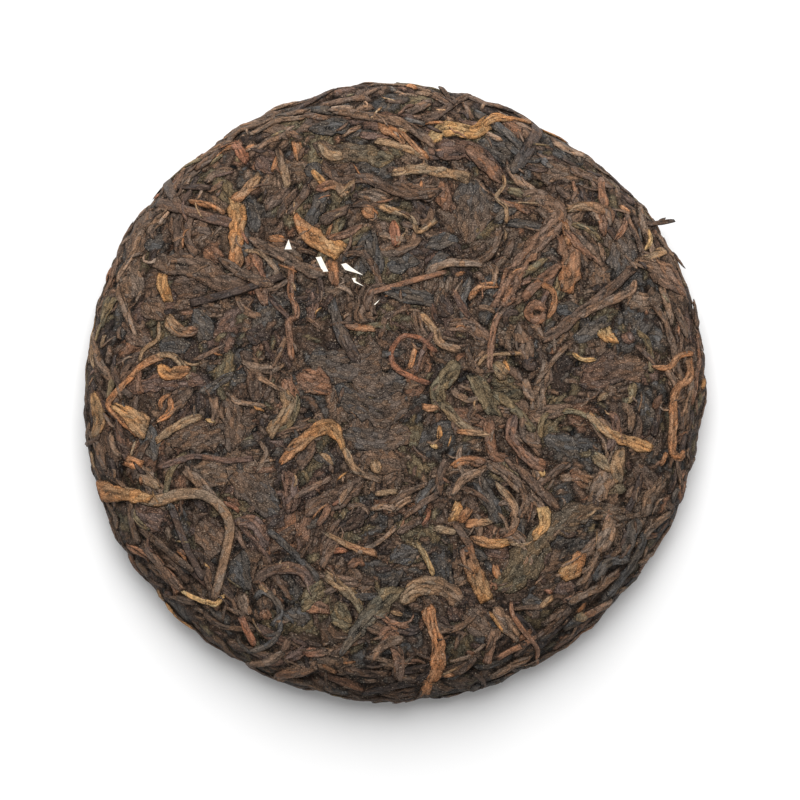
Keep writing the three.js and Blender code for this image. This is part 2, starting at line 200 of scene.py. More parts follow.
def fromPhoto(points):
    # from millimetres in the frame, right and up from the cake's middle, to the chart of the face
    points = np.asarray(points, dtype=float) - cameraSet["listMiddle"]
    rise = math.radians(cameraSet["elevation"])
    middle = cameraSet["middle"]
    last = section["rim"]
    ahead = points[:, 1]
    height = np.full(len(points), cake["faceHeight"])
    for _ in range(4):
        above = height - middle[2]
        depth = 1 + (math.cos(rise) * ahead - math.sin(rise) * above) / cameraSet["distance"]
        ahead = (points[:, 1] * depth - math.cos(rise) * above) / math.sin(rise)
        x = middle[0] + points[:, 0] * depth
        y = middle[1] + ahead
        angle = np.arctan2(y, x)
        radius = np.hypot(x, y) / outlineShare(angle)
        arc = np.interp(radius, section["radius"][:last], section["arc"][:last])
        height = np.interp(arc, section["arc"], section["height"])
    return np.stack([arc * np.cos(angle), arc * np.sin(angle)], axis=-1)


# Colours of the leaf as they show on a screen, from 0 to 255

tones = dict(
    soot=(70, 59, 52), ash=(82, 77, 71), umber=(94, 77, 64), bark=(104, 86, 71),
    hide=(116, 97, 80), olive=(103, 92, 71), plum=(98, 79, 68), russet=(118, 90, 71), brick=(130, 92, 71),
    rust=(146, 107, 76), amber=(160, 122, 81), straw=(174, 144, 101), fawn=(136, 113, 87),
)


def linear(colour):
    share = np.asarray(colour, dtype=float) / 255
    return np.where(share <= 0.04045, share / 12.92, ((share + 0.055) / 1.055) ** 2.4)


# How each kind of leaf is made. top is how many points cross it, folds the millimetres between
# the grooves that run along it, turn how fast they wind, limp how far it gives way to what is under it.

leafKinds = dict(
    broad=dict(top=17, step=0.9, thick=0.30, edge=7.0, folds=(1.0, 2.0), foldHeight=0.52, crumple=0.085,
               turn=0.05, limp=0.7, ragged=0.30, tip=0.45, slanted=1.0),
    rolled=dict(top=12, step=0.85, thick=0.50, edge=3.4, folds=(0.8, 1.5), foldHeight=0.44, crumple=0.075,
                turn=0.10, limp=0.5, ragged=0.24, tip=0.45, slanted=0.8),
    stem=dict(top=9, step=1.1, thick=0.58, edge=3.6, folds=(0.6, 1.0), foldHeight=0.16, crumple=0.015,
              turn=0.01, limp=0.2, ragged=0.07, tip=0.86, slanted=0.4),
    bud=dict(top=13, step=0.75, thick=0.42, edge=4.2, folds=(0.7, 1.4), foldHeight=0.40, crumple=0.07,
             turn=0.05, limp=0.5, ragged=0.28, tip=0.45, slanted=0.8),
    shred=dict(top=5, step=1.0, thick=0.34, edge=2.4, folds=(0.6, 1.2), foldHeight=0.08, crumple=0.02,
               turn=0.1, limp=0.5, ragged=0.25, tip=0.4, slanted=0.5),
    scrap=dict(top=7, step=0.8, thick=0.26, edge=6.0, folds=(0.9, 1.7), foldHeight=0.30, crumple=0.07,
               turn=0.08, limp=0.75, ragged=0.34, tip=0.6, slanted=1.0),
    patch=dict(top=23, step=0.65, thick=0.16, edge=9.0, folds=(1.2, 2.6), foldHeight=0.11, crumple=0.06,
               turn=0.12, limp=0.8, ragged=0.35, tip=0.34, slanted=1.0),
)


# What all leaves share, in millimetres where nothing else is said

leafShape = dict(
    endReach=(0.15, 1.5),  # length of a torn end, times the width
    endNarrow=(0.4, 1.9),  # times the kind's tip
    endSlant=0.8,  # along the leaf for each millimetre across it
    bluntest=0.95,  # share of its width that an end keeps at most
    notches=1.6,  # between the small and the large waves of a side
    waves=5.0,
    restOn=70,  # a stiff leaf rests on this percentile of the heights under it, over this length
    restReach=4.0,
    fineFolds=2.3,  # small grooves for each large one
    foldShare=(0.2, 1.15),
    thickFrom=0.55,  # share of the kind's thickness, and what each mm of width adds
    thickPerWidth=0.15,
    thickestAt=4.5,
    thickShare=(0.8, 1.2),
    lowerAt=(0.72, 0.28),  # where the two lower points lie across the leaf
    sunk=0.14,
    matEdge=0.35,  # painted shade at leaf edges: how much darker an edge is in the mat, how dark the underside, and mm of each end as dark as an edge
    lowerEdge=0.6,
    endEdge=0.25,
)


def smoothAlong(values, reach):
    size = int(round(reach))
    if size < 1 or len(values) < 3:
        return values
    kernel = np.hanning(2 * size + 3)[1:-1]
    return np.convolve(np.pad(values, size, mode="edge"), kernel / kernel.sum(), mode="valid")


def softened(grid, times):
    for _ in range(times):
        wide = np.pad(grid, 1, mode="edge")
        grid = (wide[1:-1, :-2] + 2 * wide[1:-1, 1:-1] + wide[1:-1, 2:]) / 4
        wide = np.pad(grid, 1, mode="edge")
        grid = (wide[:-2, 1:-1] + 2 * wide[1:-1, 1:-1] + wide[2:, 1:-1]) / 4
    return grid


def denser(grid, times):
    share = (np.arange(times) / times)[:, None]
    rows = grid[:-1, None] * (1 - share) + grid[1:, None] * share
    return np.vstack([rows.reshape(-1, grid.shape[1]), grid[-1:]])


def evenly(path, step):
    gaps = np.hypot(*np.diff(path, axis=0).T)
    way = np.concatenate([[0], np.cumsum(gaps)])
    count = max(4, int(round(way[-1] / step)) + 1)
    even = np.linspace(0, way[-1], count)
    return np.stack([np.interp(even, way, path[:, k]) for k in (0, 1)], axis=-1), even


def curveThrough(points, pieces=10):
    points = np.asarray(points, dtype=float)
    if len(points) < 3:
        t = np.linspace(0, 1, pieces)[:, None]
        return points[0] * (1 - t) + points[-1] * t
    ends = np.vstack([2 * points[0] - points[1], points, 2 * points[-1] - points[-2]])
    t = np.linspace(0, 1, pieces, endpoint=False)[:, None]
    curve = []
    for a, b, c, d in zip(ends[:-3], ends[1:-2], ends[2:-1], ends[3:]):
        curve.append(0.5 * (2 * b + (c - a) * t + (2 * a - 5 * b + 4 * c - d) * t ** 2
                            + (3 * b - a - 3 * c + d) * t ** 3))
    return np.vstack(curve + [points[-1:]])


def slowNoise(random, along, period):
    knots = random.uniform(-1, 1, int(along[-1] / period) + 3)
    return np.interp(along / period, np.arange(len(knots)), knots)


def crumples(random, shape):
    rough = softened(random.normal(0, 1, shape), 1)
    return rough / (rough.std() + 1e-6)


def layLeaf(chart, piece, path, width, kindName, tone, random, toneEnd=None, tip=None, rise=0.0, light=1.0,
            grow=(1.0, 1.0), vary=0.13):
    kind = leafKinds[kindName]
    spine, along = evenly(path, kind["step"])
    t = along / along[-1]
    ahead = np.gradient(spine, axis=0)
    ahead /= np.maximum(np.hypot(ahead[:, 0], ahead[:, 1]), 1e-6)[:, None]
    right = np.stack([ahead[:, 1], -ahead[:, 0]], axis=-1)
    closing = np.minimum(np.minimum(along, along[-1] - along) / (0.5 * width + 0.8), 1)
    taper = np.ones_like(along)
    skew = np.zeros_like(along)
    for away in (along, along[-1] - along):  # each end is torn in its own way, pointed, cut or slanted
        reach = width * random.uniform(*leafShape["endReach"]) + 0.6
        narrow = kind["tip"] * random.uniform(*leafShape["endNarrow"])
        if tip is not None:
            reach, narrow = (1.6 - tip) * width, tip
        reach = min(0.5 * along[-1], reach)
        close = np.clip(away / reach, 0, 1)
        narrow = min(narrow, leafShape["bluntest"])
        taper = np.minimum(taper, narrow + (1 - narrow) * np.sin(close * math.pi / 2))
        lean = random.uniform(-leafShape["endSlant"], leafShape["endSlant"]) * kind["slanted"]
        skew += lean * np.clip(1 - away / (1.2 * width), 0, 1)
    sides = [1 + kind["ragged"] * (slowNoise(random, along, leafShape["notches"])
                                   + 0.6 * slowNoise(random, along, leafShape["waves"]))
             for _ in (0, 1)]
    half = width / 2 * taper * np.interp(t, (0, 1), grow)
    across = np.linspace(-1, 1, kind["top"])
    out = half[:, None] * np.where(across < 0, sides[0][:, None], sides[1][:, None]) * across
    torn = out * skew[:, None]
    u = spine[:, :1] + right[:, :1] * out + ahead[:, :1] * torn
    v = spine[:, 1:] + right[:, 1:] * out + ahead[:, 1:] * torn

    below = chart.sample(chart.stack, u, v)
    ridgeLine = np.percentile(below, leafShape["restOn"], axis=1)
    ridgeLine = smoothAlong(ridgeLine, leafShape["restReach"] / kind["step"])
    base = softened(below, 2) * kind["limp"] + ridgeLine[:, None] * (1 - kind["limp"])

    rounded = np.sqrt(np.maximum(1 - np.abs(across) ** kind["edge"], 0))
    spacing = random.uniform(*kind["folds"])
    winding = kind["turn"] * along * random.choice([-1, 1]) + 0.7 * slowNoise(random, along, 2.4)
    phase = out / spacing + random.uniform() + winding[:, None]
    fine = out / spacing * leafShape["fineFolds"] + random.uniform() - 0.7 * winding[:, None]
    relief = np.abs(np.sin(math.pi * phase)) ** 0.7 - 0.62 + 0.3 * (np.abs(np.sin(math.pi * fine)) - 0.6)
    relief *= kind["foldHeight"] * min(1, 0.4 + width / 5) * random.uniform(*leafShape["foldShare"])
    relief *= (0.7 + 0.5 * slowNoise(random, along, 3))[:, None]
    relief += kind["crumple"] * crumples(random, relief.shape)
    relief *= np.sqrt(np.maximum(1 - across ** 2, 0))
    thin = np.sqrt(np.clip(closing * 1.2, 0.05, 1))[:, None]
    thick = leafShape["thickFrom"] + leafShape["thickPerWidth"] * min(width, leafShape["thickestAt"])
    thick = kind["thick"] * thick * random.uniform(*leafShape["thickShare"])
    relief = relief * thin
    h = base + rounded * thick * thin + relief

    colour = linear(tones[tone]) * (1 - t[:, None]) + linear(tones[toneEnd or tone]) * t[:, None]
    # light is painted light and shade: leaves at the back of the edge paler, at the front darker
    colour = colour * math.exp(random.normal(0, vary)) * light
    # painted shade: edge marks a leaf's sides and ends, which are painted darker
    ends = np.exp(-np.minimum(along, along[-1] - along) / leafShape["endEdge"])[:, None]
    edge = np.maximum(np.broadcast_to(np.abs(across) ** 9, out.shape), ends)
    seed = random.uniform(0, 900)
    crossing = int(math.ceil(width / (kind["top"] - 1) / chart.cell)) + 1
    lengthwise = int(math.ceil(kind["step"] / chart.cell)) + 1
    fields = [u, v, h]
    if piece == "mat":
        fields += [np.repeat(along[:, None], kind["top"], axis=1), out, edge]
    fill = [denser(denser(grid, lengthwise).T, crossing) for grid in fields]
    if piece == "mat":
        place = np.stack([fill[3], fill[4], np.full_like(fill[3], seed)], axis=-1)
        shaded = colour.mean(axis=0) * (1 - leafShape["matEdge"] * fill[5][..., None])
        chart.addToMat(*fill[:3], shaded, place)
        return None
    chart.raiseTo(*fill)

    lower = [int(round(share * (kind["top"] - 1))) for share in leafShape["lowerAt"]]
    sunk = leafShape["sunk"] * thin
    leaf = dict(piece=piece, top=kind["top"], along=along, half=half, colour=colour, seed=seed,
                rise=rise * t ** 2)
    leaf["u"] = np.hstack([u, u[:, lower]])
    leaf["v"] = np.hstack([v, v[:, lower]])
    leaf["h"] = np.hstack([h, base[:, lower] - sunk])
    leaf["relief"] = np.hstack([relief, 0 * relief[:, lower]])
    leaf["out"] = np.hstack([out, out[:, lower]])
    leaf["edge"] = np.hstack([edge, 0 * edge[:, lower] + leafShape["lowerEdge"]])
    chart.leaves.append(leaf)
    return leaf


# Leaves at random: where they lie, how they run and what colour they have

# the way they run changes in three waves: swing, change to the right and upward, start
flow = [(1.9, 0.047, 0.021, 1.0), (1.6, -0.033, 0.052, 2.2), (0.8, 0.11, 0.083, 0.5)]


def flowAngle(u, v):
    return sum(swing * math.sin(right * u + up * v + start) for swing, right, up, start in flow)


def edgeShare(u, v, start=54.0, full=67.0):
    return min(1.0, max(0.0, (math.hypot(u, v) - start) / (full - start)))


wandering = dict(
    turned=0.7,  # radians
    creased=0.4,  # share of the leaves with a sharp turn, and how sharp in radians
    crease=1.0,
    hugReach=13,  # mm from where leaves begin to follow the edge until they do so fully
    sway=2.1,
)


def wander(place, length, curl, slant, random, pieces=9, edgeFrom=54.0, hug=0.45):
    u, v = place
    turned = random.uniform(-wandering["turned"], wandering["turned"])
    heading = flowAngle(u, v) + slant
    crease = random.integers(2, pieces) if random.uniform() < wandering["creased"] else pieces
    points = [(u, v)]
    for k in range(pieces):
        if k == crease:
            heading += random.uniform(-wandering["crease"], wandering["crease"])
        tangent = math.atan2(v, u) + math.pi / 2
        if math.cos(heading - tangent) < 0:
            tangent += math.pi
        gap = (tangent - heading + math.pi) % (2 * math.pi) - math.pi
        heading += gap * hug * edgeShare(u, v, edgeFrom, edgeFrom + wandering["hugReach"])
        heading += curl / pieces + turned * math.sin(wandering["sway"] * k) / pieces
        u += length / pieces * math.cos(heading)
        v += length / pieces * math.sin(heading)
        points.append((u, v))
    return np.array(points)


def goldenPlaces(count, inner, outer, random, shift=1.6):
    turn = math.pi * (3 - math.sqrt(5))
    places = []
    for i in range(count):
        radius = math.sqrt(inner ** 2 + (outer ** 2 - inner ** 2) * (i + 0.5) / count)
        angle = i * turn + 0.7
        places.append((radius * math.cos(angle) + random.normal(0, shift),
                       radius * math.sin(angle) + random.normal(0, shift)))
    return [places[i] for i in random.permutation(count)]


commonTones = dict(soot=0.10, ash=0.08, umber=0.22, bark=0.22, hide=0.16, olive=0.08, plum=0.07,
                   russet=0.07)


def pickTone(random, shares=commonTones):
    names = list(shares)
    weights = np.array([shares[name] for name in names])
    return names[random.choice(len(names), p=weights / weights.sum())]


# painted light and shade on the edge: how much paler the back, how much darker the front, and from where
# to where
paintedEdgeLight = dict(paler=0.33, darker=0.44, start=52, full=74)


def paintedEdgeLightFor(chart, u, v):
    # painted light and shade: the leaves at the back edge are painted paler and those at the front edge
    # darker
    toBack = math.sin(math.atan2(v, u) * (-1 if chart.under else 1))
    change = paintedEdgeLight["paler"] * max(0.0, toBack) - paintedEdgeLight["darker"] * max(0.0, -toBack)
    return 1 + change * edgeShare(u, v, paintedEdgeLight["start"], paintedEdgeLight["full"])


scattering = dict(
    longBeta=(1.6, 2.4),  # how lengths and widths are shared out between their limits
    wideBeta=(1.5, 2.6),
    leastLong=1.9,  # times the width
    gentle=0.86,  # share of the leaves that bend gently, the others this much more
    curledMore=3.2,
    keepOff=0.97,  # share of the leaves that keep off the calm places
    mayCover=0.1,
    widensFrom=77.0,  # mm out, where the chart is wider than the cake
)


# curl and slant are in radians, hug is how far the leaves follow the edge, and calm lists the
# places that they keep off
def scatter(chart, piece, random, count, kindName, lengths, widths, inner, outer, curl=0.6,
            slant=0.5, shares=commonTones, edgeFrom=54.0, rise=0.0, hug=0.45, calm=()):
    calm = np.array(calm).reshape(-1, 3)
    for u, v in goldenPlaces(count, inner, outer, random):
        length = lengths[0] + (lengths[1] - lengths[0]) * random.beta(*scattering["longBeta"])
        width = widths[0] + (widths[1] - widths[0]) * random.beta(*scattering["wideBeta"])
        length = max(length, scattering["leastLong"] * width)
        stretchBack = max(1.0, math.hypot(u, v) / scattering["widensFrom"])
        gentle = random.uniform() < scattering["gentle"]
        bend = random.normal(0, curl if gentle else scattering["curledMore"] * curl)
        path = wander((u, v), length * stretchBack, bend, random.normal(0, slant), random,
                      edgeFrom=edgeFrom, hug=hug)
        path -= (path[-1] - path[0]) / 2
        away = np.hypot(path[:, :1] - calm[:, 0], path[:, 1:] - calm[:, 1])
        covers = np.mean(np.any(away < calm[:, 2], axis=1))
        if random.uniform() < scattering["keepOff"] and covers > scattering["mayCover"]:
            continue
        layLeaf(chart, piece, path, width, kindName, pickTone(random, shares), random,
                rise=rise * random.uniform(), light=paintedEdgeLightFor(chart, u, v))
    print("laid", count, piece)


# The leaves that stand out in the shown face, each with its width, its way in plan and its colour

def shown(kind, width, tone, *path, toneEnd=None, tip=None, grow=(1, 1)):
    return dict(kind=kind, width=width, tone=tone, path=path, toneEnd=toneEnd, tip=tip, grow=grow)


pressedPatches = [
    # upper left
    shown("patch", 8, "bark", (-61, 46), (-63.5, 38), (-65.5, 31)),
    shown("patch", 4.5, "ash", (-61.5, 38), (-57.5, 37.5)),
    shown("patch", 4, "ash", (-35.6, 47.8), (-35.1, 40.3)),
    shown("patch", 5, "olive", (-43.2, 54), (-41, 47.5)),
    shown("patch", 6.5, "umber", (-55.5, 27.5), (-46.5, 26)),
    shown("patch", 6, "ash", (-50.5, 19.5), (-45, 15)),
    shown("patch", 5.5, "soot", (-37, 15.2), (-31, 14)),
    shown("patch", 6, "hide", (-66.8, 31.5), (-64.3, 24)),
    shown("patch", 6, "bark", (-62.5, 23), (-57, 19)),
    shown("patch", 6, "umber", (-66.5, 18.5), (-62.5, 11.5)),
    shown("patch", 5, "ash", (-58.5, 13), (-51.5, 11)),
    shown("patch", 4.6, "plum", (-67.5, 1.6), (-58, 3), (-47.5, 3.6)),
    shown("patch", 3.2, "ash", (-48, 0), (-40, 5.5)),
    shown("patch", 4, "ash", (-22, 56.8), (-17.5, 55.3)),
    shown("patch", 4, "plum", (-33.8, 59.3), (-31.3, 54.7)),
    shown("patch", 5, "bark", (-20, 61.3), (-10, 60), (0, 58.5), toneEnd="olive"),
    shown("patch", 5, "umber", (-24.5, 65.5), (-18, 67.5), (-11.5, 68.5)),
    shown("patch", 5, "russet", (-47.3, 36.6), (-42.7, 33.4)),
    # upper right
    shown("patch", 7.5, "ash", (21.5, 63.5), (30.5, 61.3)),
    shown("patch", 9, "ash", (19, 53.5), (20, 46), (19, 37.5), toneEnd="bark"),
    shown("patch", 4.5, "ash", (8.5, 38), (16, 39)),
    shown("patch", 8, "bark", (33, 58), (40, 55.5), (46.5, 53.7)),
    shown("patch", 8.5, "bark", (53.5, 44.5), (56.5, 37), (57, 29.5), toneEnd="ash"),
    shown("patch", 4, "ash", (40.5, 20.4), (46.5, 21.6)),
    shown("patch", 5, "ash", (45, 13.3), (53.5, 18.7)),
    shown("patch", 9, "plum", (47, 4.8), (55, 6), (62.5, 8.2), toneEnd="bark"),
    shown("patch", 5, "soot", (11.2, 24), (14.3, 19.5)),
    shown("patch", 4.5, "russet", (12.4, 53), (13, 45.5)),
    shown("patch", 6, "hide", (59.5, 24.2), (66.5, 22)),
    # lower right
    shown("patch", 4.4, "russet", (44, -20.3), (51, -22.5), (57.5, -24.6), toneEnd="olive"),
    shown("patch", 5, "umber", (60, -18), (66.5, -24.5)),
    shown("patch", 5, "ash", (37.5, -12), (46.5, -14)),
    shown("patch", 3.4, "plum", (22.7, -39.5), (28.8, -39.5)),
    shown("patch", 3.8, "plum", (40.2, -48.6), (45.3, -47.4)),
    shown("patch", 4.2, "ash", (32.2, -52.6), (37.3, -52)),
    shown("patch", 6.5, "bark", (17.5, -54.5), (21, -58), (24.5, -59.5)),
    shown("broad", 4.6, "fawn", (1.5, -52.5), (5, -49), (11, -48.2), (17, -51.8), toneEnd="hide"),
    shown("patch", 6, "ash", (-1, -41.5), (5.5, -38.7)),
    # lower left
    shown("patch", 8, "umber", (-73.8, -9.5), (-70, -20.5)),
    shown("patch", 4.2, "ash", (-61.7, -8), (-59.4, -16.5)),
    shown("patch", 7.4, "bark", (-56, -12), (-47, -10), (-35.6, -9.4)),
    shown("patch", 3.8, "ash", (-18.8, -14.8), (-14.7, -17.7)),
    shown("patch", 6, "hide", (-51.5, -20), (-41.5, -20)),
    shown("patch", 7, "plum", (-66.3, -30), (-57.7, -32.2)),
    shown("patch", 6.5, "bark", (-49.3, -32.5), (-44.3, -40.5)),
    shown("patch", 6, "ash", (-39.7, -40.7), (-36.8, -49)),
    shown("patch", 5.5, "umber", (-30.5, -36.8), (-25, -35.9)),
    shown("patch", 5, "olive", (-15.3, -53.7), (-10.7, -58.3)),
    shown("patch", 5, "ash", (-26.3, -53.7), (-21.7, -57.3)),
    shown("patch", 8, "bark", (-40, -19.5), (-34, -25), (-28.5, -28.6), toneEnd="ash"),
    # middle
    shown("patch", 10, "ash", (-21, 9.5), (-12, 7.5), (-3, 8.5), toneEnd="bark"),
    shown("patch", 7, "bark", (-10, 4), (-4, 2.5), (3, 3.5), toneEnd="ash"),
    shown("patch", 9, "ash", (-14, -1), (-4, -4), (4, -3), toneEnd="bark"),
    shown("patch", 7, "ash", (-12, -9), (-4, -11.5), (4, -9), toneEnd="bark"),
    shown("patch", 6, "bark", (-8, -15), (2, -18)),
    shown("patch", 6, "ash", (-2, 33), (6, 33.5)),
]

